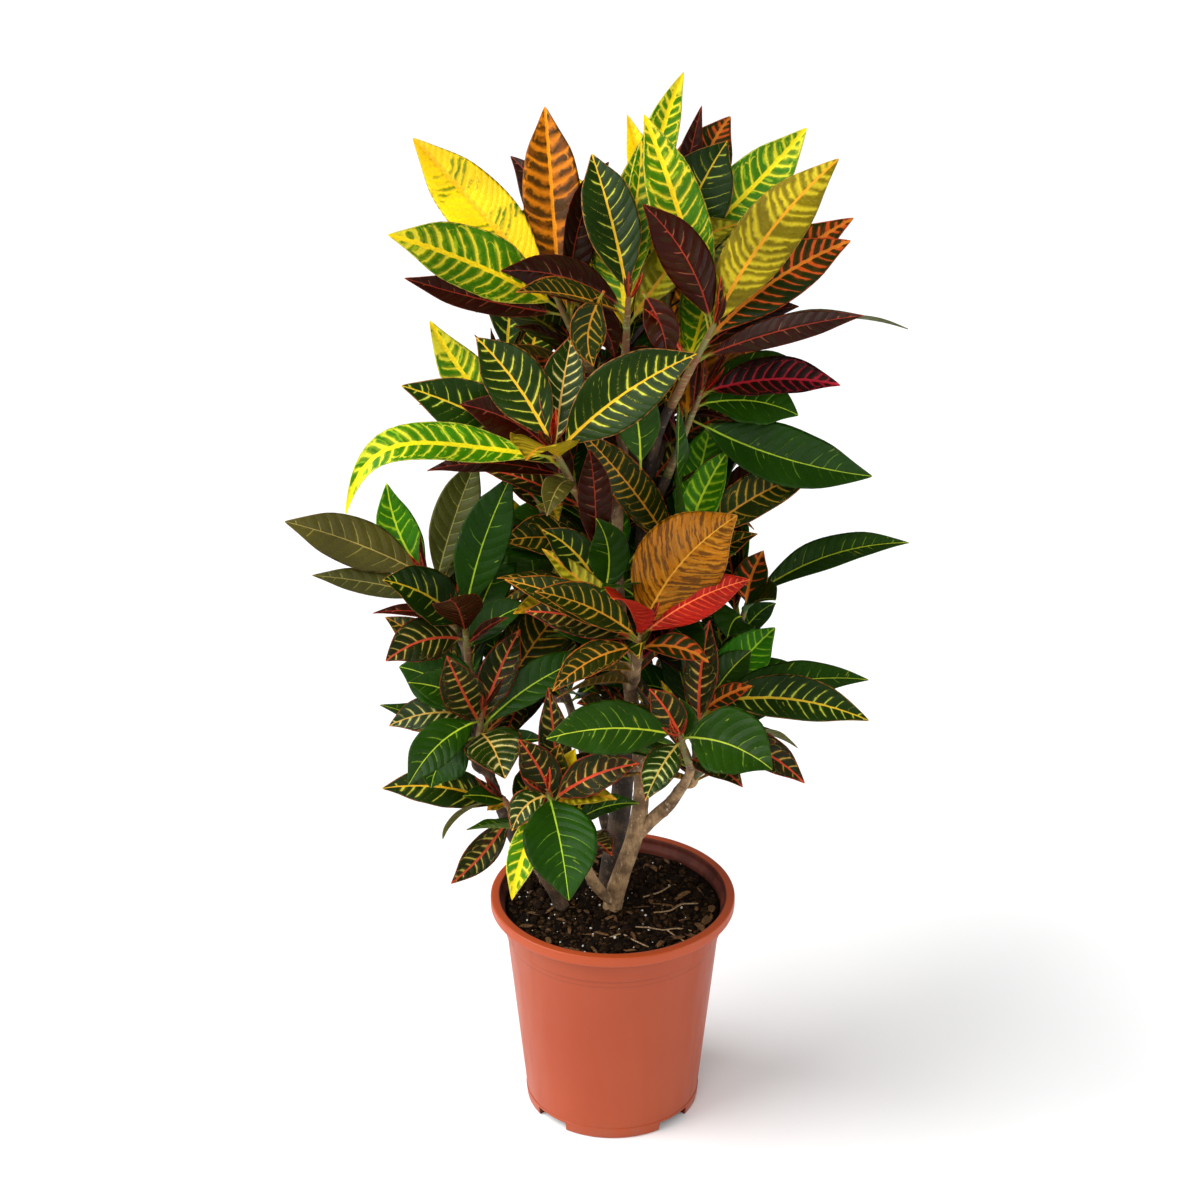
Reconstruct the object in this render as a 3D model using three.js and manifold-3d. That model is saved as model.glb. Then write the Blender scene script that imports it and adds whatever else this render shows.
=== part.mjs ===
// Potted croton (Codiaeum variegatum): a tapered nursery pot filled with soil, woody stems standing
// in holes in the soil, and a leafy head on the end of every branch.
// Millimetres, +Z up. The origin is the centre of the pot's underside, and the front faces -Y.

import * as THREE from "three";
import { mergeVertices } from "three/addons/utils/BufferGeometryUtils.js";
import Module from "manifold-3d";

const wasm = await Module();
wasm.setup();

const touchGap = 0.3; // between pieces that rest on or in each other

const pot = {
  height: 232,
  rimRadius: 120,
  rimInnerRadius: 110.5,
  rimHeight: 11,
  footRadius: 86.2,
  flare: 0.0975, // growth of the wall radius per mm of height
  shoulderDrop: 37, // from the rim top down to the shoulder line
  shoulderStep: 0.9,
  bandHeight: 12, // of the smooth band above the foot
  wall: 2.4,
  floor: 3,
  sides: 32,
};

const notch = {
  angles: [45, 135, 225, 315], // degrees round the foot
  width: 38,
  height: 10,
  inner: 62, // distance of its inner end from the pot's axis
  slotWidth: 9,
  slotLength: 10,
  slotAt: 73,
};

const soil = {
  level: 218,
  bump: 2.6, // height of the larger lumps
  lumpyShare: 0.94, // of the radius inside which the surface is lumpy
  shoulder: 3, // height of the rounding at its top edge and at its foot
  rings: 4,
  sides: 24,
  holeDepth: 62, // how deep the stems stand in it
};

// Every stem is a trunk that stands in the soil, and then its branches, which start inside it. Each is a
// chain of [x, y, z, radius] points that runs on to the head it names.
const stems = {
  stem_light: [
    {
      head: "top_mid",
      path: [
        [0, -4, 218, 9.5],
        [8, -6, 255, 9],
        [21, -8, 300, 8.5],
        [27, -9, 345, 7.5],
        [24, -10, 400, 7],
        [15, -11, 465, 6.5],
        [6, -12, 540, 6],
        [3, -11, 620, 5.5],
        [8, -10, 700, 5],
      ],
    },
    { head: "front_left", path: [[2, -6, 222, 5], [-17, -20, 252, 5.5], [-28, -44, 292, 5]] },
    { head: "right", path: [[21, -8, 296, 5.5], [38, -11, 320, 6.5], [55, -15, 340, 6], [68, -20, 363, 5]] },
    { head: "front_right", path: [[57, -16, 343, 4], [66, -32, 368, 4.5]] },
    { head: "centre", path: [[16, -11, 460, 4.5], [20, -38, 486, 5]] },
    { head: "right_low", path: [[13, -11, 480, 4.5], [20, -10, 505, 4.5]] },
    { head: "left_mid", path: [[6, -12, 545, 4.5], [-8, -14, 605, 4.5]] },
  ],
  stem_dark: [
    {
      head: "top_back",
      path: [
        [-4, 24, 218, 11.5],
        [2, 25, 265, 11],
        [8, 26, 318, 10.5],
        [12, 26, 380, 9.5],
        [14, 25, 450, 8.5],
        [21, 29, 520, 7.5],
        [27, 33, 600, 6.5],
        [32, 34, 680, 5.5],
      ],
    },
    { head: "right_back", path: [[10, 26, 345, 5], [50, 42, 395, 5], [88, 56, 425, 4.5]] },
    { head: "centre_back", path: [[13, 25, 430, 4.5], [0, 30, 480, 4.5]] },
    { head: "right_mid", path: [[23, 30, 550, 4.5], [36, 22, 620, 4.5]] },
    { head: "top_right", path: [[27, 33, 600, 4.5], [32, 10, 668, 4.5]] },
    { head: "top_left", path: [[30, 34, 640, 4.5], [10, 27, 700, 4.5]] },
    { head: "back_top", path: [[27, 33, 600, 4.5], [8, 54, 668, 4.5]] },
    { head: "back_high", path: [[30, 34, 650, 4.5], [44, 66, 672, 4.5]] },
    { head: "back_side", path: [[28, 33, 610, 4.5], [-12, 52, 668, 4.5]] },
    { head: "back_left", path: [[18, 28, 495, 4.5], [-18, 62, 552, 4.5]] },
    { head: "back_right", path: [[17, 27, 480, 4.5], [48, 72, 535, 4.5]] },
    { head: "back_mid", path: [[13, 25, 435, 4.5], [14, 66, 488, 4.5]] },
  ],
  stem_rear: [
    {
      head: "back_low_left",
      path: [
        [6, 54, 218, 6],
        [-4, 52, 265, 5.5],
        [-14, 56, 305, 5],
        [-30, 74, 355, 5],
      ],
    },
    { head: "back_low_right", path: [[-5, 52, 268, 4], [12, 78, 325, 4.5]] },
  ],
  stem_left: [
    {
      head: "left_low",
      path: [
        [-50, -6, 218, 7.5],
        [-70, -18, 268, 7],
        [-94, -28, 309, 6.5],
        [-108, -34, 350, 5.5],
        [-119, -36, 385, 5],
      ],
    },
    { head: "left_up", path: [[-112, -35, 362, 4], [-127, -24, 425, 4.5]] },
    { head: "left_top", path: [[-119, -34, 385, 3.5], [-138, -6, 445, 4.2]] },
    { head: "left_foot", path: [[-88, -25, 298, 3.5], [-87, -38, 325, 4]] },
  ],
};

const stem = {
  trunkSides: 7,
  branchSides: 5,
  inLine: 18, // length of a branch's end that is in line with the shoot on it
  holeClearance: 0.5,
};

const shoot = {
  sides: 6,
  baseRadius: 4.4,
  tipRadius: 2.2,
  budLength: 7, // of the bud above the topmost leaf
  leafStep: 6, // along the shoot from one leaf to the next
  filled: 0.85, // share of the shoot that carries leaves, at most
};

const blade = {
  thickness: 0.8,
  stalkShare: 0.09, // of the leaf's length that is its stalk
  rootPower: 0.75, // the outline's fullness towards the stalk
  tipPower: 0.85, // and towards the tip
  stalkRadius: 1.2,
  sections: [0, 0.09, 0.26, 0.5, 0.78, 1],
  narrowSections: [0, 0.09, 0.32, 0.66, 1],
  narrow: 40, // widest width of a leaf that has fewer sections
  backSections: [0, 0.09, 0.34, 0.7, 1],
  clearance: 2, // from one leaf to another
  stemClearance: 2,
  potClearance: 4,
};

// The leaf table is drawn up in the front view, whose line of sight drops by this much.
const viewDrop = THREE.MathUtils.degToRad(25);
const viewRight = new THREE.Vector3(1, 0, 0);
const viewUp = new THREE.Vector3(0, Math.sin(viewDrop), Math.cos(viewDrop));
const viewAway = new THREE.Vector3(0, Math.cos(viewDrop), -Math.sin(viewDrop));

// Leaves that grow towards the back, by rule.
const backLeaf = {
  fan: 34, // degrees from one to the next on a head that also has leaves at the front
  ringSpread: 260, // degrees over which the leaves of a back head are spread
  ringStep: 0.618, // from one of those leaves to the next, as a share of the spread
  swing: 24, // degrees of random turn
  ringRise: [72, 2], // degrees above level of the topmost and the lowest leaf of a back head
  fanRise: [62, 12], // limits of their random rise
  length: 172,
  lengthSpread: 0.4, // random, as a share of the length
  widthShare: 0.34,
  arch: 22,
  hook: 3,
  roll: 0.9, // how far it may lean to one side, as a share of how far it faces up
  middle: 10, // x of the plant's middle
  sideReach: 138, // furthest from the middle
};

// Every head: its crown point, the way down its shoot to the branch, how many leaves grow at the back,
// and the leaves seen from the front, from the crown down.
// A leaf is [right, up, away, width, arch, face, hook]: its tip from the crown in the front view, the
// widest width, how far its middle bows up, the direction that its upper side faces, in degrees from
// the viewer (0) over the zenith (90) to the back (180), and, on a leaf that droops at its end, a power
// that moves the bow towards the tip.
const heads = {
  top_left: {
    tone: "gold",
    crown: [-50, -15, 845],
    stalk: [30, 25, -75],
    backLeaves: 3,
    leaves: [
      [-130, 150, 40, 64, 2, 30],
      [-12, 180, 50, 58, 4, 30],
      [-145, 50, -20, 66, 8, 40],
      [-135, 20, 5, 46, -2, 40],
    ],
  },
  top_mid: {
    tone: "gold",
    crown: [12, -30, 850],
    stalk: [-3, 20, -80],
    backLeaves: 3,
    leaves: [
      [-32, 132, 25, 54, 8, 30],
      [12, 147, 10, 42, 6, 30],
      [-110, 20, -40, 54, 12, 200],
      [-95, -5, -50, 36, 10, 60],
      [52, 220, 20, 38, 30, 30],
    ],
  },
  top_right: {
    tone: "gold",
    crown: [86, -30, 824],
    stalk: [-35, 20, -80],
    backLeaves: 3,
    leaves: [
      [-62, 102, -45, 62, 10, 200],
      [-60, 188, 30, 54, 8, 30],
      [108, 143, -20, 66, 12, 200],
      [125, 82, 35, 54, 12, 30],
      [130, 106, 0, 50, 12, 40],
      [80, 25, 20, 50, 12, 60],
      [130, 8, -30, 38, 6, 200],
      [184, 18, 20, 36, 28, 100],
      [-60, 11, -50, 14, 6, 60],
    ],
  },
  top_back: {
    tone: "gold",
    crown: [52, 55, 858],
    stalk: [-10, -15, -80],
    backLeaves: 5,
    leaves: [
      [122, 121, 0, 60, -4, 30],
      [50, 108, 10, 72, 8, 30],
      [28, 145, 20, 36, 8, 30],
      [-40, 136, 15, 34, 6, 30],
    ],
  },
  left_mid: {
    tone: "green",
    crown: [-54, -70, 728],
    stalk: [25, 45, -70],
    backLeaves: 2,
    leaves: [
      [-68, 98, 15, 58, 8, 30],
      [17, 101, 15, 44, 6, 30],
      [125, 77, 10, 66, 10, 35],
      [-181, -61, -10, 44, 52, 50, 6],
      [-20, -18, -110, 70, 16, 90],
      [-82, 38, -75, 60, 12, 30],
      [-111, 116, 40, 52, -14, 30],
      [-134, 55, 25, 60, 10, 30],
      [-79, 89, 40, 42, 8, 30],
      [-113, -19, 20, 44, 12, 70],
      [-5, -61, -10, 30, 14, 60],
    ],
  },
  right_mid: {
    tone: "red",
    crown: [79, 40, 736],
    stalk: [-30, -15, -75],
    backLeaves: 4,
    leaves: [
      [127, 7, -20, 46, 12, 50],
      [102, 27, 20, 40, 14, 60],
      [91, -18, 10, 62, 12, 50],
      [0, 41, -5, 14, 2, 30],
      [157, -75, -10, 64, -8, 40],
    ],
  },
  right_low: {
    tone: "green",
    crown: [71, 10, 599],
    stalk: [-35, -20, -60],
    backLeaves: 2,
    leaves: [
      [125, 73, -20, 46, 10, 40],
      [21, 115, -5, 50, 8, 30],
      [35, 88, 12, 40, 8, 30],
      [-104, 102, -20, 42, 6, 30],
    ],
  },
  centre_back: {
    tone: "green",
    crown: [-8, 30, 591],
    stalk: [5, 0, -60],
    backLeaves: 3,
    leaves: [
      [45, 108, 10, 54, 8, 30],
      [90, 112, -5, 46, 8, 30],
      [-95, 2, -30, 50, 12, 50],
      [0, 50, -20, 44, 8, 30],
    ],
  },
  centre: {
    tone: "red",
    crown: [24, -80, 550],
    stalk: [-2, 10, -24],
    backLeaves: 0,
    leaves: [
      [86, 107, -35, 92, 14, 200],
      [98, 50, -30, 44, 8, 200],
      [-25, 32, -60, 56, 14, 60],
      [-95, 39, -30, 42, 10, 50],
      [-123, 50, 0, 38, 10, 50],
      [-105, 21, -25, 42, 10, 40],
      [-90, 79, -10, 30, 6, 40],
      [-79, -50, -15, 34, 12, 50],
      [62, -25, 5, 30, 10, 60],
    ],
  },
  right: {
    tone: "green",
    crown: [84, -10, 443],
    stalk: [-6, -15, -55],
    backLeaves: 2,
    leaves: [
      [156, -14, -20, 48, 16, 40],
      [161, 23, 30, 45, 14, 60],
      [46, 19, -25, 22, 4, 40],
      [49, 51, 10, 40, 8, 30],
      [74, 81, 40, 52, 8, 30],
      [61, 60, 15, 30, 6, 30],
      [6, 81, -20, 36, 6, 30],
      [72, -6, 20, 42, 12, 60],
      [96, -73, 0, 40, 14, 50],
      [94, -43, 30, 30, 16, 110],
      [81, -31, 10, 22, 8, 60],
    ],
  },
  front_right: {
    tone: "green",
    crown: [60, -115, 465],
    stalk: [10, 45, -50],
    backLeaves: 0,
    leaves: [
      [-121, -1, -25, 56, 10, 35],
      [81, -28, -35, 72, 12, 40],
      [-32, -56, -30, 36, 8, 50],
      [-28, 43, -10, 34, 4, 30],
      [0, 34, 10, 30, 4, 30],
    ],
  },
  front_left: {
    tone: "green",
    crown: [-60, -125, 412],
    stalk: [15, 40, -60],
    backLeaves: 0,
    leaves: [
      [20, -91, -60, 74, 14, 60],
      [-32, -33, -30, 32, 12, 50],
      [-32, -95, -20, 32, 12, 50],
      [83, 28, -20, 40, 8, 40],
      [63, -5, -10, 26, 8, 50],
      [-26, 50, -20, 40, 4, 30],
      [11, 45, 0, 34, 4, 30],
      [25, 40, 10, 32, 4, 30],
      [0, 96, 20, 34, 6, 30],
    ],
  },
  left_low: {
    tone: "green",
    crown: [-122, -60, 462],
    stalk: [-5, 15, -50],
    backLeaves: 2,
    leaves: [
      [-67, 27, -10, 38, 8, 40],
      [-78, 41, 20, 60, 10, 40],
      [-87, -14, -15, 40, 10, 50],
      [-65, -66, -20, 46, 14, 50],
      [-28, 53, 10, 44, 6, 30],
      [35, 76, -5, 38, 6, 30],
      [109, 53, 10, 42, 12, 50],
      [23, -60, -50, 60, 12, 60],
      [-48, -72, 20, 58, 14, 40],
    ],
  },
  left_foot: {
    tone: "green",
    crown: [-102, -60, 369],
    stalk: [10, 12, -26],
    backLeaves: 0,
    leaves: [
      [-59, -38, 10, 28, 14, 110],
      [-38, 5, -10, 22, 4, 50],
      [-17, -11, -20, 14, 4, 50],
      [-116, 10, 5, 45, 20, 50],
      [-50, -78, -10, 32, -6, 50],
    ],
  },
  left_up: {
    tone: "green",
    crown: [-138, -20, 537],
    stalk: [3, 5, -60],
    backLeaves: 2,
    leaves: [
      [45, 134, -5, 53, 8, 30],
      [-84, 6, -15, 22, 8, 60],
      [-71, 36, -30, 58, 10, 50],
      [-5, 18, -90, 66, 10, 200],
      [-71, -38, -40, 48, 12, 40],
      [41, 2, -20, 20, 4, 60],
      [59, 14, 15, 40, 10, 60],
    ],
  },
  left_top: {
    tone: "green",
    crown: [-172, 20, 562],
    stalk: [25, -5, -55],
    backLeaves: 2,
    leaves: [
      [-135, 52, -10, 52, 6, 200],
      [-41, 89, 10, 44, -16, 30],
      [45, 114, 10, 46, 6, 30],
      [58, 84, 25, 30, 6, 30],
      [-111, 2, 5, 28, 4, 200],
    ],
  },
  right_back: {
    tone: "green",
    crown: [131, 90, 506],
    stalk: [-20, -20, -60],
    backLeaves: 3,
    leaves: [
      [158, 56, 10, 40, 18, 60],
      [14, 48, -20, 36, 4, 30],
      [22, 0, -30, 42, 8, 50],
      [-21, -36, -20, 50, 10, 50],
    ],
  },
  back_top: {
    tone: "gold",
    crown: [-25, 100, 790],
    stalk: [8, -20, -75],
    backLeaves: 9,
    leaves: [],
  },
  back_high: {
    tone: "gold",
    crown: [70, 130, 770],
    stalk: [-22, -25, -70],
    backLeaves: 8,
    leaves: [],
  },
  back_side: {
    tone: "green",
    crown: [-98, 78, 748],
    stalk: [32, -18, -60],
    backLeaves: 8,
    leaves: [],
  },
  back_left: {
    tone: "green",
    crown: [-95, 95, 665],
    stalk: [30, -20, -60],
    backLeaves: 9,
    leaves: [],
  },
  back_right: {
    tone: "red",
    crown: [115, 130, 650],
    stalk: [-30, -25, -60],
    backLeaves: 9,
    leaves: [],
  },
  back_mid: {
    tone: "green",
    crown: [20, 140, 610],
    stalk: [0, -25, -65],
    backLeaves: 9,
    leaves: [],
  },
  back_low_left: {
    tone: "green",
    crown: [-75, 115, 470],
    stalk: [25, -20, -60],
    backLeaves: 9,
    leaves: [],
  },
  back_low_right: {
    tone: "green",
    crown: [70, 140, 455],
    stalk: [-30, -25, -55],
    backLeaves: 9,
    leaves: [],
  },
};

const colors = {
  pot: 0xc4623c,
  soil: 0x2a211b,
  bark: 0x8a7358,
  gold: 0xc9b22a,
  green: 0x2f6b22,
  red: 0x8a3526,
};

const vector = (list) => new THREE.Vector3(list[0], list[1], list[2]);

// The nth of a fixed series of numbers between 0 and 1 that look random.
function draw(n) {
  const value = Math.sin(n * 12.9898) * 43758.5453;
  return value - Math.floor(value);
}

// ---- closed solids ----

function solidOf(geometry) {
  const bare = new THREE.BufferGeometry();
  bare.setAttribute("position", geometry.getAttribute("position"));
  bare.setIndex(geometry.index);
  const merged = mergeVertices(bare, 1e-4);
  return new wasm.Manifold(
    new wasm.Mesh({
      numProp: 3,
      vertProperties: new Float32Array(merged.getAttribute("position").array),
      triVerts: new Uint32Array(merged.index.array),
    }),
  );
}

function joined(solids) {
  return solids.reduce((whole, solid) => whole.add(solid));
}

function meshOf(name, solid, color, roughness) {
  const cut = solid.getMesh();
  const geometry = new THREE.BufferGeometry();
  geometry.setAttribute("position", new THREE.BufferAttribute(cut.vertProperties, 3));
  geometry.setIndex(new THREE.BufferAttribute(cut.triVerts, 1));
  geometry.computeVertexNormals();
  const material = new THREE.MeshStandardMaterial({ color, roughness, metalness: 0 });
  const mesh = new THREE.Mesh(geometry, material);
  mesh.name = name;
  return mesh;
}

// A closed skin over rings of equally many points. The first strip is split along its other
// diagonal, so that the two faces of a four-point blade section are split alike.
function loft(rings) {
  const sides = rings[0].length;
  const last = (rings.length - 1) * sides;
  const index = [];
  for (let ring = 0; ring < last; ring += sides) {
    for (let side = 0; side < sides; side += 1) {
      const next = (side + 1) % sides;
      const [a, b, c, d] = [ring + side, ring + next, ring + sides + side, ring + sides + next];
      if (side === 0) index.push(a, b, c, b, d, c);
      else index.push(a, b, d, a, d, c);
    }
  }
  for (let side = 2; side < sides; side += 1) {
    const [a, b] = [side, (side + 1) % sides];
    index.push(1, b, a, last + 1, last + a, last + b);
  }
  const geometry = new THREE.BufferGeometry();
  geometry.setFromPoints(rings.flat());
  geometry.setIndex(index);
  return solidOf(geometry);
}

function lathe(profile, sides) {
  const points = profile.map(([radius, height]) => new THREE.Vector2(radius, height));
  return solidOf(new THREE.LatheGeometry(points, sides).rotateX(Math.PI / 2));
}

function box(size, centre, angle) {
  const geometry = new THREE.BoxGeometry(...size);
  geometry.translate(...centre);
  geometry.rotateZ(angle);
  return solidOf(geometry);
}

const smooth = (path) => new THREE.CatmullRomCurve3(path.map(vector), false, "centripetal");

function radiusAt(path, t) {
  const place = Math.min(path.length - 2, Math.floor(t * (path.length - 1)));
  return THREE.MathUtils.lerp(path[place][3], path[place + 1][3], t * (path.length - 1) - place);
}

// A round tube through [x, y, z, radius] points, smoothed between them. growth widens it.
function tube(path, sides, steps, growth = 0) {
  const centres = smooth(path);
  const rings = [];
  let across = new THREE.Vector3(1, 0, 0);
  for (let step = 0; step <= steps; step += 1) {
    const t = step / steps;
    const along = centres.getTangent(t);
    across = across.clone().addScaledVector(along, -across.dot(along)).normalize();
    const other = new THREE.Vector3().crossVectors(along, across);
    const centre = centres.getPoint(t);
    const radius = radiusAt(path, t) + growth;
    const ring = [];
    for (let side = 0; side < sides; side += 1) {
      const angle = (side / sides) * 2 * Math.PI;
      ring.push(
        centre
          .clone()
          .addScaledVector(across, radius * Math.cos(angle))
          .addScaledVector(other, radius * Math.sin(angle)),
      );
    }
    rings.push(ring);
  }
  return loft(rings);
}

// ---- pot and soil ----

function wallRadius(height) {
  const shoulder = height > pot.height - pot.shoulderDrop ? pot.shoulderStep : 0;
  return pot.footRadius + pot.flare * height + shoulder;
}

function innerProfile() {
  const lip = pot.height - pot.rimHeight;
  const rimTurn = 5;
  return [
    [0, pot.floor],
    [wallRadius(0) - pot.wall - rimTurn / 2, pot.floor],
    [wallRadius(0) - pot.wall, pot.floor + rimTurn / 2],
    [wallRadius(lip) - pot.wall, lip],
    [pot.rimInnerRadius, lip + rimTurn],
  ];
}

// The four notches as blocks that reach below the foot, or the same blocks grown on every side.
function notchBlocks(grow) {
  const length = pot.rimRadius - notch.inner + grow;
  const height = 2 * (notch.height + grow);
  const size = [length, notch.width + 2 * grow, height];
  const centre = [notch.inner - grow + length / 2, 0, 0];
  return joined(notch.angles.map((angle) => box(size, centre, THREE.MathUtils.degToRad(angle))));
}

function makePot() {
  const lip = pot.height - pot.rimHeight;
  const shoulder = pot.height - pot.shoulderDrop;
  const footBevel = 2.5;
  const bandStep = 0.5;
  const bead = 2.5; // rounding of the rim
  const outer = lathe(
    [
      [0, 0],
      [wallRadius(0) - footBevel, 0],
      [wallRadius(footBevel), footBevel],
      [wallRadius(pot.bandHeight), pot.bandHeight],
      [wallRadius(pot.bandHeight) - bandStep, pot.bandHeight + bandStep],
      [wallRadius(shoulder) - bandStep, shoulder],
      [wallRadius(shoulder + 1), shoulder + 1],
      [wallRadius(lip), lip],
      [pot.rimRadius - bead, lip],
      [pot.rimRadius - bead / 4, lip + bead / 3],
      [pot.rimRadius, lip + bead],
      [pot.rimRadius, pot.height - bead],
      [pot.rimRadius - bead / 3, pot.height - bead / 3],
      [pot.rimRadius - bead, pot.height],
      [pot.rimInnerRadius + bead, pot.height],
      [pot.rimInnerRadius + bead / 3, pot.height - bead / 3],
      [pot.rimInnerRadius, pot.height - bead],
      [0, pot.height - bead],
    ],
    pot.sides,
  );
  const throat = [[pot.rimInnerRadius, pot.height], [0, pot.height]];
  const hollow = lathe([...innerProfile(), ...throat], pot.sides);
  const ceilings = notchBlocks(pot.wall).intersect(outer);
  const slots = notch.angles.map((angle) =>
    box(
      [notch.slotLength, notch.slotWidth, pot.height / 4],
      [notch.slotAt, 0, notch.height],
      THREE.MathUtils.degToRad(angle),
    ),
  );
  return outer.subtract(hollow).add(ceilings).subtract(notchBlocks(0)).subtract(joined(slots));
}

// Height of the soil's lumps over the soil level.
function soilBump(x, y) {
  const broad = Math.sin(x / 17 + 1) * Math.cos(y / 14 - 2);
  const fine = Math.sin(x / 6.3 + y / 9.1) * Math.cos(y / 5.2 - x / 11.7);
  return soil.bump * (0.6 * broad + 0.4 * fine);
}

function makeSoil() {
  const gap = pot.wall + touchGap;
  const floor = pot.floor + touchGap;
  const topRadius = wallRadius(soil.level) - gap;
  const footRadius = wallRadius(floor) - gap;
  const circle = (radius, heightAt) =>
    Array.from({ length: soil.sides }, (_, side) => {
      const angle = (side / soil.sides) * 2 * Math.PI;
      const [x, y] = [radius * Math.cos(angle), radius * Math.sin(angle)];
      return new THREE.Vector3(x, y, heightAt(x, y));
    });
  const rings = [
    circle(footRadius - soil.shoulder, () => floor),
    circle(footRadius - soil.shoulder / 6, () => floor + soil.shoulder),
    circle(topRadius - soil.shoulder / 3, () => soil.level - soil.shoulder),
  ];
  for (let ring = soil.rings; ring >= 1; ring -= 1) {
    const radius = (topRadius * soil.lumpyShare * ring) / soil.rings;
    rings.push(circle(radius, (x, y) => soil.level + soilBump(x, y)));
  }
  return loft(rings).subtract(notchBlocks(gap));
}

// ---- stems and shoots ----

const headBase = (head) => vector(head.crown).add(vector(head.stalk));

// A branch runs on from its own points to the underside of its head's shoot, in line with the shoot.
function branchPath(branch) {
  const head = heads[branch.head];
  const base = headBase(head);
  const down = vector(head.stalk).normalize();
  const lead = base.clone().addScaledVector(down, stem.inLine);
  const end = base.clone().addScaledVector(down, touchGap);
  return [...branch.path, [...lead, shoot.baseRadius], [...end, shoot.baseRadius]];
}

function stemPath(branch, isTrunk) {
  const path = branchPath(branch);
  if (!isTrunk) return path;
  const [x, y, z, radius] = path[0];
  return [[x, y, z - soil.holeDepth, radius], ...path];
}

function makeStem(branches) {
  return joined(
    branches.map((branch, place) => {
      const path = stemPath(branch, place === 0);
      return tube(path, place === 0 ? stem.trunkSides : stem.branchSides, path.length + 1);
    }),
  );
}

// The plain hole that a stem stands in: the trunk itself, a little wider and deeper.
function stemHole(branches) {
  const [foot, ...rest] = stemPath(branches[0], true);
  const [x, y, z, radius] = foot;
  const path = [[x, y, z - touchGap, radius], ...rest];
  return tube(path, stem.trunkSides, path.length + 1, stem.holeClearance);
}

function makeShoot(head) {
  const base = headBase(head);
  const crown = vector(head.crown);
  const up = vector(head.stalk).normalize().negate();
  const bud = crown.clone().addScaledVector(up, shoot.budLength);
  const path = [
    [...base, shoot.baseRadius],
    [...crown, shoot.tipRadius],
    [...bud, shoot.tipRadius / 2],
  ];
  return tube(path, shoot.sides, 2);
}

// ---- leaves ----

// Share of the greatest half width at t, from 0 at the root to 1 at the tip.
function bladeShare(t) {
  const { stalkShare, rootPower, tipPower } = blade;
  const outline = (u) => u ** rootPower * (1 - u) ** tipPower;
  const u = Math.max(0, (t - stalkShare) / (1 - stalkShare));
  return outline(u) / outline(rootPower / (rootPower + tipPower));
}

// One leaf as a function: pointAt(t, u) is on its middle surface, with u from -1 to 1 across it.
function makeLeaf(root, tip, width, arch, facing, hook, sections) {
  const chord = tip.clone().sub(root);
  const along = chord.clone().normalize();
  const bow = new THREE.Vector3(0, 0, 1).addScaledVector(along, -along.z).normalize();
  const crest = (hook - 1) / hook ** (hook / (hook - 1));
  const tangentAt = (t) =>
    chord.clone().addScaledVector(bow, (arch * (1 - hook * t ** (hook - 1))) / crest).normalize();
  const normalAt = (t) => {
    const tangent = tangentAt(t);
    return facing.clone().addScaledVector(tangent, -facing.dot(tangent)).normalize();
  };
  const halfAt = (t) => Math.max(t < 0.5 ? blade.stalkRadius : blade.thickness, (width / 2) * bladeShare(t));
  const pointAt = (t, u) => {
    const side = new THREE.Vector3().crossVectors(tangentAt(t), normalAt(t));
    return root
      .clone()
      .addScaledVector(chord, t)
      .addScaledVector(bow, (arch * (t - t ** hook)) / crest)
      .addScaledVector(side, u * halfAt(t));
  };
  const ringAt = (t) => {
    const thickness = t < 2 * blade.stalkShare ? 2 * blade.stalkRadius : blade.thickness;
    const up = normalAt(t).multiplyScalar(thickness / 2);
    const [left, right] = [pointAt(t, -1), pointAt(t, 1)];
    return [left.clone().add(up), right.clone().add(up), right.sub(up), left.sub(up)];
  };
  return { sections, pointAt, normalAt, solid: () => loft(sections.map(ringAt)) };
}

// ---- keeping every leaf clear of the others ----

function trianglesOf(leaf, offset, from) {
  const rows = leaf.sections.filter((t) => t >= from).map((t) => {
    const shift = leaf.normalAt(t).multiplyScalar(offset);
    return [leaf.pointAt(t, -1).add(shift), leaf.pointAt(t, 1).add(shift)];
  });
  const triangles = [];
  for (let row = 1; row < rows.length; row += 1) {
    const [[left, right], [nextLeft, nextRight]] = [rows[row - 1], rows[row]];
    triangles.push([left, right, nextLeft], [right, nextRight, nextLeft]);
  }
  return triangles;
}

function shapeOf(leaf, from) {
  const middle = trianglesOf(leaf, 0, from);
  return {
    middle,
    edges: middle.flatMap(([a, b, c]) => [[a, b], [b, c], [c, a]]),
    faces: [...trianglesOf(leaf, blade.clearance, from), ...trianglesOf(leaf, -blade.clearance, from)],
  };
}

function sketchOf(leaf) {
  const spots = [];
  const rows = 24;
  const spotsAcross = [-1, -2 / 3, -1 / 3, 0, 1 / 3, 2 / 3, 1];
  for (let row = 1; row <= rows; row += 1) {
    for (const u of spotsAcross) spots.push(leaf.pointAt(row / rows, u));
  }
  return {
    whole: shapeOf(leaf, 0),
    outer: shapeOf(leaf, blade.stalkShare),
    spots,
    box: new THREE.Box3().setFromPoints(spots).expandByScalar(blade.clearance),
  };
}

const scratch = Array.from({ length: 5 }, () => new THREE.Vector3());

function pierces([start, end], [a, b, c]) {
  const [way, sideOne, sideTwo, cross, other] = scratch;
  way.subVectors(end, start);
  sideOne.subVectors(b, a);
  sideTwo.subVectors(c, a);
  cross.crossVectors(way, sideTwo);
  const scale = sideOne.dot(cross);
  if (Math.abs(scale) < 1e-9) return false;
  other.subVectors(start, a);
  const u = other.dot(cross) / scale;
  if (u < 0 || u > 1) return false;
  cross.crossVectors(other, sideOne);
  const v = way.dot(cross) / scale;
  if (v < 0 || u + v > 1) return false;
  const reach = sideTwo.dot(cross) / scale;
  return reach >= 0 && reach <= 1;
}

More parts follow.
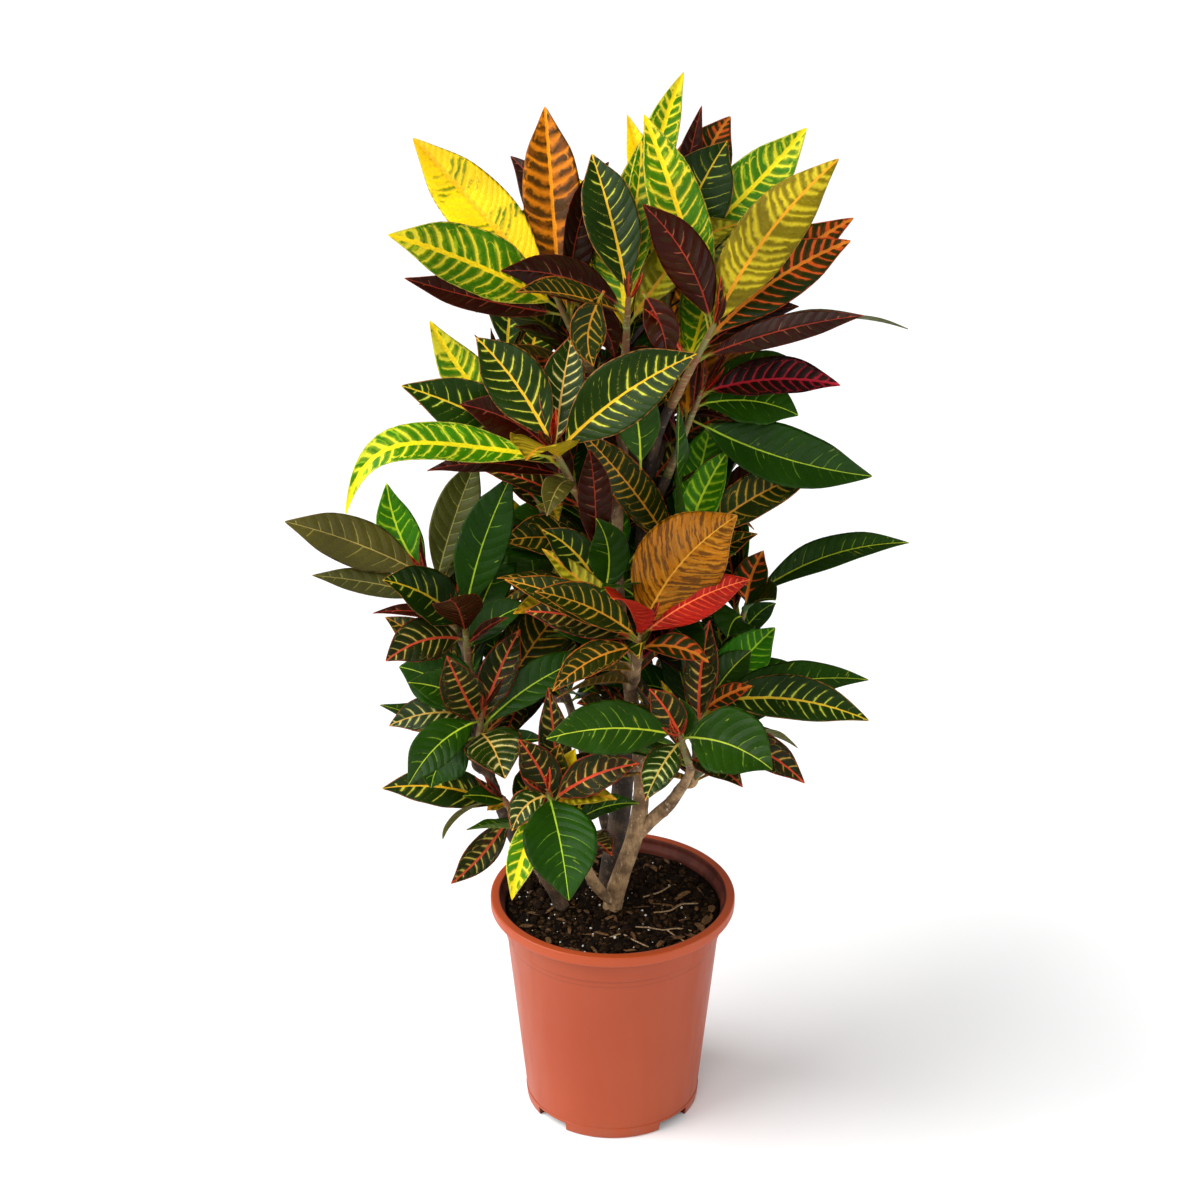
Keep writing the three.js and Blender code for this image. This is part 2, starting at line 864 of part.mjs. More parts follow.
const anyPierces = (edges, faces) => edges.some((edge) => faces.some((face) => pierces(edge, face)));

// Leaves of one head share their shoot, so only what is beyond their stalks counts there.
function leavesCross(one, other, extent) {
  if (!one.box.intersectsBox(other.box)) return false;
  const [a, b] = [one[extent], other[extent]];
  return anyPierces(a.edges, b.faces) || anyPierces(b.edges, a.faces);
}

// The straight bits of every stem and shoot: { start, end, radius, head }.
const woodBits = [];

function addWood(path, head) {
  for (let place = 1; place < path.length; place += 1) {
    const [start, end] = [vector(path[place - 1]), vector(path[place])];
    woodBits.push({ start, end, radius: Math.max(path[place - 1][3], path[place][3]), head });
  }
}

function smoothPath(path) {
  const steps = 2 * (path.length - 1);
  return smooth(path).getPoints(steps).map((point, step) => [...point, radiusAt(path, step / steps)]);
}

function touchesWood(sketch, headName) {
  const nearest = new THREE.Vector3();
  return woodBits.some(({ start, end, radius, head }) => {
    if (head === headName) return false;
    const room = radius + blade.stemClearance;
    const bit = new THREE.Line3(start, end);
    if (sketch.whole.middle.some((face) => pierces([start, end], face))) return true;
    return sketch.spots.some((spot) => {
      bit.closestPointToPoint(spot, true, nearest);
      return nearest.distanceTo(spot) < room;
    });
  });
}

function touchesPot(sketch) {
  const lowest = pot.height + blade.potClearance;
  return sketch.spots.some((spot) => spot.z < lowest);
}

const widelySpread = (sketch) =>
  sketch.spots.some((spot) => Math.abs(spot.x - backLeaf.middle) > backLeaf.sideReach);

// Ways to bend a leaf clear, tried in turn: [away, up, arch] for a leaf seen from the front, and
// [swing, lift] in degrees for one at the back.
const frontNudges = [];
for (const arch of [0, 10, -8]) {
  for (const up of [0, 8, -8]) {
    for (const away of [0, -15, 15, -30, 30, -45, 45, -60, 60, -80, 80]) frontNudges.push([away, up, arch]);
  }
}
const backNudges = [];
for (const lift of [0, 10, -10, 20, -20, 30, -30, 40, -40]) {
  for (const swing of [0, 14, -14, 28, -28, 42, -42, 56, -56]) backNudges.push([swing, lift]);
}

function rootOf(head, place, count) {
  const stalk = vector(head.stalk);
  const step = Math.min(shoot.leafStep, (shoot.filled * stalk.length()) / count);
  return vector(head.crown).addScaledVector(stalk.normalize(), step * place);
}

function frontLeaf(head, row, place, count, [moreAway, moreUp, moreArch]) {
  const [right, up, away, width, arch, face, hook = 2] = row;
  const tip = vector(head.crown)
    .addScaledVector(viewRight, right)
    .addScaledVector(viewUp, up + moreUp)
    .addScaledVector(viewAway, away + moreAway);
  const root = rootOf(head, place, count);
  const sections = width < blade.narrow ? blade.narrowSections : blade.sections;
  const turn = THREE.MathUtils.degToRad(face);
  const facing = new THREE.Vector3(0, -Math.cos(turn), Math.sin(turn));
  return makeLeaf(root, tip, width, arch + moreArch, facing, hook, sections);
}

function rearLeaf(head, number, place, count, [swing, lift]) {
  const isBackHead = head.leaves.length === 0;
  const last = head.backLeaves - 1;
  const seed = head.crown[0] + 3 * head.crown[2] + number;
  const turn = isBackHead
    ? 90 + backLeaf.ringSpread * (((backLeaf.ringStep * number) % 1) - 0.5)
    : 90 + backLeaf.fan * (number - last / 2);
  const rise = isBackHead
    ? THREE.MathUtils.lerp(...backLeaf.ringRise, number / last)
    : THREE.MathUtils.lerp(...backLeaf.fanRise, draw(seed + 0.5));
  const azimuth = THREE.MathUtils.degToRad(turn + backLeaf.swing * (draw(seed) - 0.5) + swing);
  const height = THREE.MathUtils.degToRad(rise + lift);
  const length = backLeaf.length * (1 + backLeaf.lengthSpread * (draw(seed + 0.25) - 0.5));
  const root = rootOf(head, place, count);
  const way = new THREE.Vector3(
    Math.cos(azimuth) * Math.cos(height),
    Math.sin(azimuth) * Math.cos(height),
    Math.sin(height),
  );
  const tip = root.clone().addScaledVector(way, length);
  const roll = backLeaf.roll * (2 * draw(seed + 0.75) - 1);
  const facing = new THREE.Vector3(-roll * Math.sin(azimuth), roll * Math.cos(azimuth), 1);
  const width = length * backLeaf.widthShare;
  return makeLeaf(root, tip, width, backLeaf.arch, facing, backLeaf.hook, blade.backSections);
}

const settled = [];

// The first way of bending a leaf that keeps it clear, or for a leaf at the front the first that
// clears the other heads. A leaf at the back that has no room is left out.
function settle(headName, nudges, leafWith) {
  let fallback = null;
  for (const nudge of nudges) {
    const leaf = leafWith(nudge);
    const sketch = sketchOf(leaf);
    if (touchesPot(sketch) || touchesWood(sketch, headName)) continue;
    if (nudges === backNudges && widelySpread(sketch)) continue;
    const crossed = settled.filter((other) =>
      leavesCross(sketch, other.sketch, other.headName === headName ? "outer" : "whole"),
    );
    if (crossed.some((other) => other.headName !== headName)) continue;
    const choice = { headName, leaf, sketch, nudge };
    if (crossed.length === 0) {
      settled.push(choice);
      return;
    }
    if (nudges === frontNudges) fallback ??= choice;
  }
  if (fallback) settled.push(fallback);
}

for (const branches of Object.values(stems)) {
  branches.forEach((branch, place) => addWood(smoothPath(stemPath(branch, place === 0)), branch.head));
}
for (const [name, head] of Object.entries(heads)) {
  addWood([[...headBase(head), shoot.baseRadius], [...head.crown, shoot.tipRadius]], name);
}
for (const [name, head] of Object.entries(heads)) {
  const count = head.leaves.length + head.backLeaves;
  head.leaves.forEach((row, place) => {
    settle(name, frontNudges, (nudge) => frontLeaf(head, row, place, count, nudge));
  });
}
for (const [name, head] of Object.entries(heads)) {
  const count = head.leaves.length + head.backLeaves;
  for (let number = 0; number < head.backLeaves; number += 1) {
    const place = head.leaves.length + number;
    settle(name, backNudges, (nudge) => rearLeaf(head, number, place, count, nudge));
  }
}

// ---- the plant ----

const croton = new THREE.Group();
croton.add(meshOf("pot", makePot(), colors.pot, 0.45));
const holes = joined(Object.values(stems).map(stemHole));
croton.add(meshOf("soil", makeSoil().subtract(holes), colors.soil, 1));
for (const [name, branches] of Object.entries(stems)) {
  croton.add(meshOf(name, makeStem(branches), colors.bark, 0.9));
}
for (const [name, head] of Object.entries(heads)) {
  const leaves = settled.filter((entry) => entry.headName === name).map((entry) => entry.leaf.solid());
  croton.add(meshOf(`head_${name}`, joined([makeShoot(head), ...leaves]), colors[head.tone], 0.4));
}

export default croton;
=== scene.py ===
import math
from types import SimpleNamespace

import bpy
import numpy as np
from mathutils.kdtree import KDTree
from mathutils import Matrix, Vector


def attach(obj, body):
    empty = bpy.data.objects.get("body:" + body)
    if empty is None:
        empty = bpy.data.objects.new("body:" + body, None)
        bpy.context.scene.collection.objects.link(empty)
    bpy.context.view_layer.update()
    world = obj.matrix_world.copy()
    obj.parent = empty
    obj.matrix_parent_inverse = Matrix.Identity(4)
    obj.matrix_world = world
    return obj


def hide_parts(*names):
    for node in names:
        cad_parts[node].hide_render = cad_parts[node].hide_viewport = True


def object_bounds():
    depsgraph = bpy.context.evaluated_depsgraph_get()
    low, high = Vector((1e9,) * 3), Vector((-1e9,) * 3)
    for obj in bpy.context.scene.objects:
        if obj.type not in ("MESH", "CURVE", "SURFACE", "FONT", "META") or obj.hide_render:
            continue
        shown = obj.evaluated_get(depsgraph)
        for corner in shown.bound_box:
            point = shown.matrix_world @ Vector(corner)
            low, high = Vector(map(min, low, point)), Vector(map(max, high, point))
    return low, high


# Potted croton: a terracotta coloured nursery pot of soil, four woody stems and 25 leafy heads.
# Shapes are worked out in millimetres, as in the part's source, and put into the meshes in metres.

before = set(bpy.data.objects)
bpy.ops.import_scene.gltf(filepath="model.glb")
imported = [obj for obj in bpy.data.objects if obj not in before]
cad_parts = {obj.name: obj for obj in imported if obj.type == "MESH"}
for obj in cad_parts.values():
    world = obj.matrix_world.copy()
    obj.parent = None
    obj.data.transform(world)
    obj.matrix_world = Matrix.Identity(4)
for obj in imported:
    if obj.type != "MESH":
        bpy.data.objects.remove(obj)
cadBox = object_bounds()
metres = 0.001
print("frame loaded,", len(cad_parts), "nodes")


view = {
    "place": (-0.0125, -2.186, 1.558),
    "tiltDown": 24.8,  # degrees
    "lens": 77.55,
    "sensorWidth": 36,
}

studio = {
    "floorSize": 16,
    "floorColour": "#fefefe",
    "floorFleckColour": "#fbfbfb",
    "sky": 0.3,
    "skySeen": 1.0,  # the same sky where it is seen past the floor
    "sunPlace": (-2.5, -0.5, 2.75),
    "sunPower": 3.95,
    "sunAngle": 56,  # degrees: how soft its shadows are
    "fillPlace": (-0.3, -2.8, 2.6),
    "fillSize": 2.6,
    "fillPower": 54,
    "sidePlace": (2.6, -0.9, 1.0),
    "sideSize": 1.2,
    "sidePower": 22,
    "aim": (0, 0, 0.5),
}


def linear(code):
    # "#rrggbb" as linear light: ((c + 0.055) / 1.055) ** 2.4 above the toe
    shares = np.array([int(code[place:place + 2], 16) / 255 for place in (1, 3, 5)])
    return np.where(shares < 0.04045, shares / 12.92, ((shares + 0.055) / 1.055) ** 2.4)


def setCamera():
    lensData = bpy.data.cameras.new("camera")
    lensData.lens = view["lens"]
    lensData.sensor_width = view["sensorWidth"]
    camera = bpy.data.objects.new("camera", lensData)
    camera.location = view["place"]
    camera.rotation_euler = (math.radians(90 - view["tiltDown"]), 0, 0)
    bpy.context.collection.objects.link(camera)
    bpy.context.scene.camera = camera


def aimedAt(place, target):
    # turn that points an object's -Z at the target
    dx, dy, dz = (end - start for start, end in zip(place, target))
    return (math.atan2(math.hypot(dx, dy), -dz), 0, math.atan2(dy, dx) - math.pi / 2)


def addLight(name, kind, place, power):
    lamp = bpy.data.lights.new(name, kind)
    lamp.energy = power
    light = bpy.data.objects.new(name, lamp)
    light.location = place
    light.rotation_euler = aimedAt(place, studio["aim"])
    bpy.context.collection.objects.link(light)
    return lamp


def setSky():
    world = bpy.context.scene.world or bpy.data.worlds.new("studio")
    bpy.context.scene.world = world
    world.use_nodes = True
    sky = world.node_tree.nodes["Background"]
    sky.inputs["Color"].default_value = (1, 1, 1, 1)
    ray = world.node_tree.nodes.new("ShaderNodeLightPath")
    strength = world.node_tree.nodes.new("ShaderNodeMapRange")
    strength.inputs["To Min"].default_value = studio["sky"]
    strength.inputs["To Max"].default_value = studio["skySeen"]
    world.node_tree.links.new(ray.outputs["Is Camera Ray"], strength.inputs["Value"])
    world.node_tree.links.new(strength.outputs["Result"], sky.inputs["Strength"])


def setLights():
    setSky()
    sun = addLight("key", "SUN", studio["sunPlace"], studio["sunPower"])
    sun.angle = math.radians(studio["sunAngle"])
    for name in ("fill", "side"):
        lamp = addLight(name, "AREA", studio[f"{name}Place"], studio[f"{name}Power"])
        lamp.size = studio[f"{name}Size"]
    bpy.context.scene.view_settings.view_transform = "Standard"


class Value:
    # a node's output, so that a material's sums can be written as sums

    def __init__(self, finish, socket):
        self.finish, self.socket = finish, socket

    def __add__(self, other):
        return self.finish.calc("ADD", self, other)

    def __sub__(self, other):
        return self.finish.calc("SUBTRACT", self, other)

    def __rsub__(self, other):
        return self.finish.calc("SUBTRACT", other, self)

    def __mul__(self, other):
        return self.finish.calc("MULTIPLY", self, other)

    def __truediv__(self, other):
        return self.finish.calc("DIVIDE", self, other)

    def __pow__(self, other):
        return self.finish.calc("POWER", self, other)

    def __gt__(self, other):
        return self.finish.calc("GREATER_THAN", self, other)

    def __abs__(self):
        return self.finish.calc("ABSOLUTE", self)

    def __floor__(self):
        return self.finish.calc("FLOOR", self)


class Finish:
    # a material, and short ways of adding nodes to it

    def __init__(self, name):
        self.material = bpy.data.materials.new(name)
        self.material.use_nodes = True
        self.tree = self.material.node_tree
        self.shader = self.tree.nodes["Principled BSDF"]

    def put(self, socket, value):
        # links a value, or sets a number, a vector or a "#rrggbb" colour
        if isinstance(value, Value):
            self.tree.links.new(value.socket, socket)
        elif isinstance(value, str):
            socket.default_value = (*linear(value), 1.0)
        else:
            socket.default_value = value

    def add(self, kind, settings=(), **sockets):
        node = self.tree.nodes.new(f"ShaderNode{kind}")
        for name, value in dict(settings).items():
            setattr(node, name, value)
        for name, value in sockets.items():
            self.put(node.inputs[name], value)
        return node

    def out(self, node, output=0):
        return Value(self, node.outputs[output])

    def fed(self, node, places, values, output=0):
        # the node's output, with these values in its inputs at these places
        for place, value in zip(places, values):
            self.put(node.inputs[place], value)
        return self.out(node, output)

    def calc(self, operation, *values, clamp=False):
        node = self.add("Math", {"operation": operation, "use_clamp": clamp})
        return self.fed(node, range(3), values)

    def mix(self, share, one, other, mode="MIX"):
        node = self.add("Mix", {"data_type": "RGBA", "blend_type": mode})
        return self.fed(node, (0, 6, 7), (share, one, other), 2)

    def ease(self, value, low, high, start=0.0, end=1.0):
        # start below low, end above high, and a smooth step between them
        node = self.add("MapRange", {"interpolation_type": "SMOOTHSTEP"})
        return self.fed(node, range(5), (value, low, high, start, end))

    def read(self, name, kind="Vector"):
        return self.out(self.add("Attribute", {"attribute_name": name}), kind)

    def place(self):
        return self.out(self.add("TexCoord"), "Object")

    def split(self, vector):
        node = self.add("SeparateXYZ", Vector=vector)
        return [self.out(node, axis) for axis in range(3)]

    def join(self, x, y, z):
        return self.out(self.add("CombineXYZ", X=x, Y=y, Z=z))

    def stretch(self, vector, scale):
        return self.out(self.add("Mapping", Vector=vector, Scale=scale))

    def noise(self, where, scale, detail=3.0, roughness=0.5):
        node = self.add("TexNoise", Vector=where, Scale=scale, Detail=detail, Roughness=roughness)
        return self.out(node)

    def cells(self, where, scale):
        return self.out(self.add("TexVoronoi", Vector=where, Scale=scale))

    def lots(self, x, y, z):
        # three values between 0 and 1 that are drawn for these three
        node = self.add("TexWhiteNoise", {"noise_dimensions": "3D"}, Vector=self.join(x, y, z))
        return self.split(self.out(node, "Color"))

    def bump(self, height, distance, strength):
        node = self.add("Bump", Height=height, Distance=distance, Strength=strength)
        self.put(self.shader.inputs["Normal"], self.out(node))

    def done(self, colour, roughness, **others):
        self.put(self.shader.inputs["Base Color"], colour)
        self.put(self.shader.inputs["Roughness"], roughness)
        for name, value in others.items():
            self.put(self.shader.inputs[name.replace("_", " ")], value)
        return self.material


def unit(vectors):
    return vectors / np.linalg.norm(vectors, axis=-1, keepdims=True)


def eased(value, low, high):
    # smooth step from 0 at low to 1 at high
    share = np.clip((value - low) / (high - low), 0, 1)
    return share * share * (3 - 2 * share)


def draw(n):
    # the nth of a fixed series between 0 and 1: the fraction of 43758.5453 sin(12.9898 n)
    value = np.sin(np.asarray(n, dtype=float) * 12.9898) * 43758.5453
    return value - np.floor(value)


def skin(rings, startPole, endPole):
    # A closed skin over a grid of rings (rows, columns, 3), with a pole at either end.
    rows, columns = rings.shape[:2]
    row, column = np.mgrid[0:rows - 1, 0:columns]
    ahead = (column + 1) % columns
    base = row * columns
    quads = np.stack([base + column, base + ahead, base + columns + ahead, base + columns + column], -1)
    around = np.arange(columns)
    onward = (around + 1) % columns
    start = rows * columns
    last = start - columns
    fans = [
        np.stack([np.full(columns, start), onward, around], -1),
        np.stack([np.full(columns, start + 1), last + around, last + onward], -1),
    ]
    return {
        "points": np.concatenate([rings.reshape(-1, 3), [startPole], [endPole]]),
        "faces": [quads.reshape(-1, 4), np.concatenate(fans)],
    }


def newMesh(name, shapes):
    # One mesh of several shapes, each of points in mm, groups of faces and values per point or corner.
    points = np.concatenate([shape["points"] for shape in shapes]) * metres
    starts = np.cumsum([0] + [len(shape["points"]) for shape in shapes])
    faces = []
    for shape, start in zip(shapes, starts):
        for group in shape["faces"]:
            faces.extend((np.asarray(group) + start).tolist())
    mesh = bpy.data.meshes.new(name)
    mesh.from_pydata(points.tolist(), [], faces)
    for key in shapes[0].get("vectors", ()):
        values = np.concatenate([shape["vectors"][key] for shape in shapes])
        mesh.attributes.new(key, "FLOAT_VECTOR", "POINT").data.foreach_set("vector", values.ravel())
    for key in shapes[0].get("faceValues", ()):
        values = np.concatenate([shape["faceValues"][key] for shape in shapes])
        mesh.attributes.new(key, "FLOAT", "FACE").data.foreach_set("value", values)
    if "corners" in shapes[0]:
        corners = np.concatenate([shape["corners"] for shape in shapes])
        mesh.uv_layers.new(name="OFBake").data.foreach_set("uv", corners.ravel())
    mesh.shade_smooth()
    mesh.update()
    return mesh


def newPiece(name, shapes, material, slot=None, nodes=()):
    piece = bpy.data.objects.new(name, newMesh(name, shapes))
    piece.data.materials.append(material)
    bpy.context.collection.objects.link(piece)
    if slot:
        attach(piece, "root")
    if nodes:
        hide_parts(*nodes)
    return piece


def circles(radii, columns):
    # x and y of level circles round Z, one row for each radius
    angles = np.arange(columns) / columns * 2 * np.pi
    return radii[:, None] * np.cos(angles), radii[:, None] * np.sin(angles)


def lathe(profile, columns):
    # (radius * cos a, radius * sin a, height), for a profile that starts and ends on the axis
    radii, heights = np.array(profile[1:-1]).T
    rings = np.stack(np.broadcast_arrays(*circles(radii, columns), heights[:, None]), -1)
    return skin(rings, (0, 0, profile[0][1]), (0, 0, profile[-1][1]))


def rounded(corners, steps=5):
    # A profile of (radius, height, rounding) corners: each corner is the curve
    # (1-s)^2 before + 2s(1-s) corner + s^2 after, over the length of its rounding.
    places = np.array([corner[:2] for corner in corners], dtype=float)
    profile = [tuple(places[0])]
    for number in range(1, len(corners) - 1):
        corner, reach = places[number], corners[number][2]
        before = corner + unit(places[number - 1] - corner) * reach
        after = corner + unit(places[number + 1] - corner) * reach
        for s in np.linspace(0, 1, steps + 1):
            profile.append(tuple((1 - s) ** 2 * before + 2 * s * (1 - s) * corner + s * s * after))
    profile.append(tuple(places[-1]))
    return profile


def curve(path, t):
    # Centripetal Catmull-Rom through a list of points, at shares t of its spans, as in the part's source.
    points = np.array(path, dtype=float)
    before, after = 2 * points[0] - points[1], 2 * points[-1] - points[-2]
    points = np.concatenate([[before], points, [after]])
    spans = len(path) - 1
    place = np.minimum((t * spans).astype(int), spans - 1)
    weight = (t * spans - place)[:, None]
    p0, p1, p2, p3 = (points[place + k] for k in range(4))
    steps = (p1 - p0, p2 - p1, p3 - p2)
    d0, d1, d2 = (np.linalg.norm(step, axis=1)[:, None] ** 0.5 for step in steps)
    slope1 = ((p1 - p0) / d0 - (p2 - p0) / (d0 + d1) + (p2 - p1) / d1) * d1
    slope2 = ((p2 - p1) / d1 - (p3 - p1) / (d1 + d2) + (p3 - p2) / d2) * d1
    cubic = 2 * p1 - 2 * p2 + slope1 + slope2
    square = -3 * p1 + 3 * p2 - 2 * slope1 - slope2
    return p1 + slope1 * weight + square * weight**2 + cubic * weight**3


def turnedRound(points, degrees):
    # points turned about Z
    c, s = math.cos(math.radians(degrees)), math.sin(math.radians(degrees))
    x, y, z = points.T
    return np.stack([x * c - y * s, x * s + y * c, z], -1)


def boxShape(size, centre, degrees):
    # a closed box, turned about Z
    signs = np.array([[x, y, z] for z in (-1, 1) for x, y in ((-1, -1), (1, -1), (1, 1), (-1, 1))]) / 2
    faces = [[3, 2, 1, 0], [4, 5, 6, 7], [0, 1, 5, 4], [1, 2, 6, 5], [2, 3, 7, 6], [3, 0, 4, 7]]
    return {"points": turnedRound(signs * size + centre, degrees), "faces": [np.array(faces)]}


def carve(piece, steps):
    # Joins shapes to a piece and cuts shapes from it, each step an (operation, shapes) pair.
    tools = []
    for operation, shapes in steps:
        for shape in shapes:
            tool = bpy.data.objects.new("tool", newMesh("tool", [shape]))
            bpy.context.collection.objects.link(tool)
            tools.append(tool)
            change = piece.modifiers.new("carve", "BOOLEAN")
            change.operation = operation
            change.solver = "EXACT"
            change.object = tool
    graph = bpy.context.evaluated_depsgraph_get()
    carved = bpy.data.meshes.new_from_object(piece.evaluated_get(graph))
    piece.modifiers.clear()
    piece.data = carved
    for tool in tools:
        bpy.data.objects.remove(tool)
    carved.set_sharp_from_angle(angle=math.radians(40))


pot = {
    "height": 232,
    "rimRadius": 120,
    "rimInnerRadius": 110.5,
    "rimHeight": 11,
    "rimStep": 4,  # how far the rim's inside stands out from the wall's
    "footRadius": 86.2,
    "flare": 0.0975,  # growth of the wall radius per mm of height
    "shoulderDrop": 37,
    "shoulderStep": 0.9,
    "bandHeight": 12,
    "wall": 2.4,
    "floor": 3,
    "notchAngles": (45, 135, 225, 315),
    "notchWidth": 38,
    "notchHeight": 10,
    "notchInner": 62,
    "ceilingInset": 1,  # how far the block over a notch stays inside the wall and off the ground
    "ceilingPoints": 9,
    "slotSize": (10, 9, 58),  # the drain slot in every notch
    "slotPlace": (73, 0, 10),
    "columns": 192,
    "stepShadeLines": ((0, 0.8), (6.2, 0.4)),  # depth under the shoulder and strength of the painted shade lines: the shadow under the shoulder's step and a fainter one below it
    "stepShadeHalf": (0.4, 1.3),
    "insideFrom": 1.05,  # mm into the wall where the inner side's painted shade starts
    "colour": "#9a3a12",
    "wornColour": "#a84c24",
    "dustColour": "#8a5a42",
    # painted shade: the dark colour of the pot's inner side
    "innerShadeColour": "#3a1208",
    # painted shade colour of the lines at the shoulder's step
    "stepShadeColour": "#7a2c12",
    # painted light: the rim's lighter colour where it catches the light from above
    "rimLightColour": "#ab4418",
}


def wallRadius(height):
    shoulder = pot["shoulderStep"] if height > pot["height"] - pot["shoulderDrop"] else 0
    return pot["footRadius"] + pot["flare"] * height + shoulder


def notchBoxes(grow):
    length = pot["rimRadius"] - pot["notchInner"] + grow
    size = (length, pot["notchWidth"] + 2 * grow, 2 * (pot["notchHeight"] + grow))
    centre = (pot["notchInner"] - grow + length / 2, 0, 0)
    return [boxShape(size, centre, degrees) for degrees in pot["notchAngles"]]


def notchCeiling(degrees):
    # The block over a notch: its plan is a box whose outer end is an arc just inside the pot's wall.
    half = pot["notchWidth"] / 2 + pot["wall"]
    inner, outer = pot["notchInner"] - pot["wall"], wallRadius(0) - pot["ceilingInset"]
    reach = math.asin(half / outer)
    bend = np.linspace(-reach, reach, pot["ceilingPoints"])
    plan = [(inner, half), (inner, -half), *zip(outer * np.cos(bend), outer * np.sin(bend))]
    heights = (pot["ceilingInset"], pot["notchHeight"] + pot["wall"])
    count = len(plan)
    around = np.arange(count)
    onward = (around + 1) % count
    walls = np.stack([around, onward, onward + count, around + count], -1)
    points = np.array([(x, y, z) for z in heights for x, y in plan])
    return {"points": turnedRound(points, degrees), "faces": [walls, [around[::-1]], [around + count]]}


def potProfile():
    # up the outer wall, over the rim and down the inner wall to the floor
    lip = pot["height"] - pot["rimHeight"]
    shoulder = pot["height"] - pot["shoulderDrop"]
    band, wall, top = pot["bandHeight"], pot["wall"], pot["height"]
    return rounded([
        (0, 0, 0),
        (wallRadius(0), 0, 2.6),
        (wallRadius(band), band, 0.25),
        (wallRadius(band) - 0.7, band + 0.3, 0.15),
        (wallRadius(shoulder) - 0.5, shoulder, 0.15),
        (wallRadius(shoulder + 1), shoulder + 0.6, 0.25),
        (wallRadius(lip), lip, 1.2),
        (pot["rimRadius"], lip, 2.2),
        (pot["rimRadius"], top, 2.4),
        (pot["rimInnerRadius"], top, 2.4),
        (pot["rimInnerRadius"], lip + 5, 1.5),
        (wallRadius(lip) - wall, lip, 1.5),
        (wallRadius(0) - wall, pot["floor"], 3),
        (0, pot["floor"], 0),
    ])


def insideShadeMask(finish, where):
    # painted shade on the inner side: 0.9 inside the middle of the pot's wall, 0 outside it
    x, y, height = finish.split(where)
    lip = (pot["height"] - pot["rimHeight"]) * metres
    middle = (pot["footRadius"] - pot["insideFrom"]) * metres
    wall = finish.calc("MULTIPLY_ADD", height, pot["flare"], middle)
    wall = wall + finish.ease(height, lip - metres, lip + 2 * metres, 0, pot["rimStep"] * metres)
    beyond = finish.calc("SQRT", x * x + y * y) - wall
    return finish.ease(beyond, -0.35 * metres, 0.35 * metres, 0.9, 0)


def potFinish():
    finish = Finish("moulded pot plastic")
    where = finish.place()
    height = finish.split(where)[2]
    broad = finish.noise(where, 9, 4)
    fine = finish.noise(where, 160, 3, 0.6)
    streaks = finish.noise(finish.stretch(where, (1, 1, 0.16)), 60, 4, 0.6)
    scuffs = finish.ease(finish.noise(finish.stretch(where, (1, 1, 3.2)), 34, 5, 0.7), 0.6, 0.74)
    colour = finish.mix(finish.ease(broad, 0.3, 0.7, 0, 0.35), pot["colour"], pot["wornColour"])
    narrow, wide = (half * metres for half in pot["stepShadeHalf"])
    # painted shade: a thin darker line at the shoulder's step and a fainter one below it
    for drop, strength in pot["stepShadeLines"]:
        apart = abs(height - (pot["height"] - pot["shoulderDrop"] - drop) * metres)
        colour = finish.mix(finish.ease(apart, narrow, wide, strength, 0), colour, pot["stepShadeColour"])
    lip = (pot["height"] - pot["rimHeight"]) * metres
    # painted shade over the whole inner side of the wall, broken a little by the streaks
    inside = insideShadeMask(finish, where) * finish.ease(streaks, 0.25, 0.6, 0.8, 1.0)
    dust = finish.ease(height, 0.0, 0.03, 1, 0) * finish.ease(streaks, 0.4, 0.7)
    for share, tone in (
        # painted light on the rim above the lip
        (finish.ease(height, lip, lip + 2 * metres, 0, 0.8), "rimLightColour"),
        # painted shade of the inner side
        (inside, "innerShadeColour"),
        (scuffs * 0.16, "wornColour"),
        (dust * 0.35, "dustColour"),
    ):
        colour = finish.mix(share, colour, pot[tone])
    roughness = finish.ease(streaks, 0.3, 0.75, 0.36, 0.5) + scuffs * 0.1 + inside * 0.35
    finish.bump(fine * 0.35 + streaks * 0.5, 0.00025, 0.5)
    return finish.done(colour, roughness, Specular_IOR_Level=0.35)


def buildPot():
    piece = newPiece("pot_body", [lathe(potProfile(), pot["columns"])], potFinish(), "pot_plastic", ["pot"])
    ceilings = [notchCeiling(degrees) for degrees in pot["notchAngles"]]
    slots = [boxShape(pot["slotSize"], pot["slotPlace"], degrees) for degrees in pot["notchAngles"]]
    carve(piece, [("UNION", ceilings), ("DIFFERENCE", notchBoxes(0)), ("DIFFERENCE", slots)])
    print("pot:", len(piece.data.polygons), "faces")


soil = {
    "level": 218,
    "bump": 2.6,
    "waves": ((9, 1.0), (5.2, 0.8), (3.1, 0.6), (1.9, 0.4)),  # length and rise of the finer waves
    "rounding": 3,
    "gap": 0.3,
    "columns": 168,
    "rings": 46,
    "firstRing": 0.965,  # share of the top's radius
    "lastRing": 1.5,
    "lumpsFade": 0.93,  # share of the top's radius from which the lumps fade out
    "colour": "#0d0703",
    "paleColour": "#281709",
    "fibreColour": "#6d5238",
    "dampColour": "#110b07",
}


def soilHeight(x, y):
    # the source's lumps and four finer waves, each crossed by another and shifted by it
    broad = np.sin(x / 17 + 1) * np.cos(y / 14 - 2)
    fine = np.sin(x / 6.3 + y / 9.1) * np.cos(y / 5.2 - x / 11.7)
    height = soil["bump"] * (0.6 * broad + 0.4 * fine)
    for number, (length, rise) in enumerate(soil["waves"]):
        turn = 2 * np.pi * draw(number + 3)
        a = (x * np.cos(turn) + y * np.sin(turn)) / length
        b = (y * np.cos(turn) - x * np.sin(turn)) / length
        wave = np.sin(a + 1.7 * np.sin(b * 0.7 + number)) * np.cos(b + 1.3 * np.sin(a * 0.6))
        height = height + rise * wave
    return height


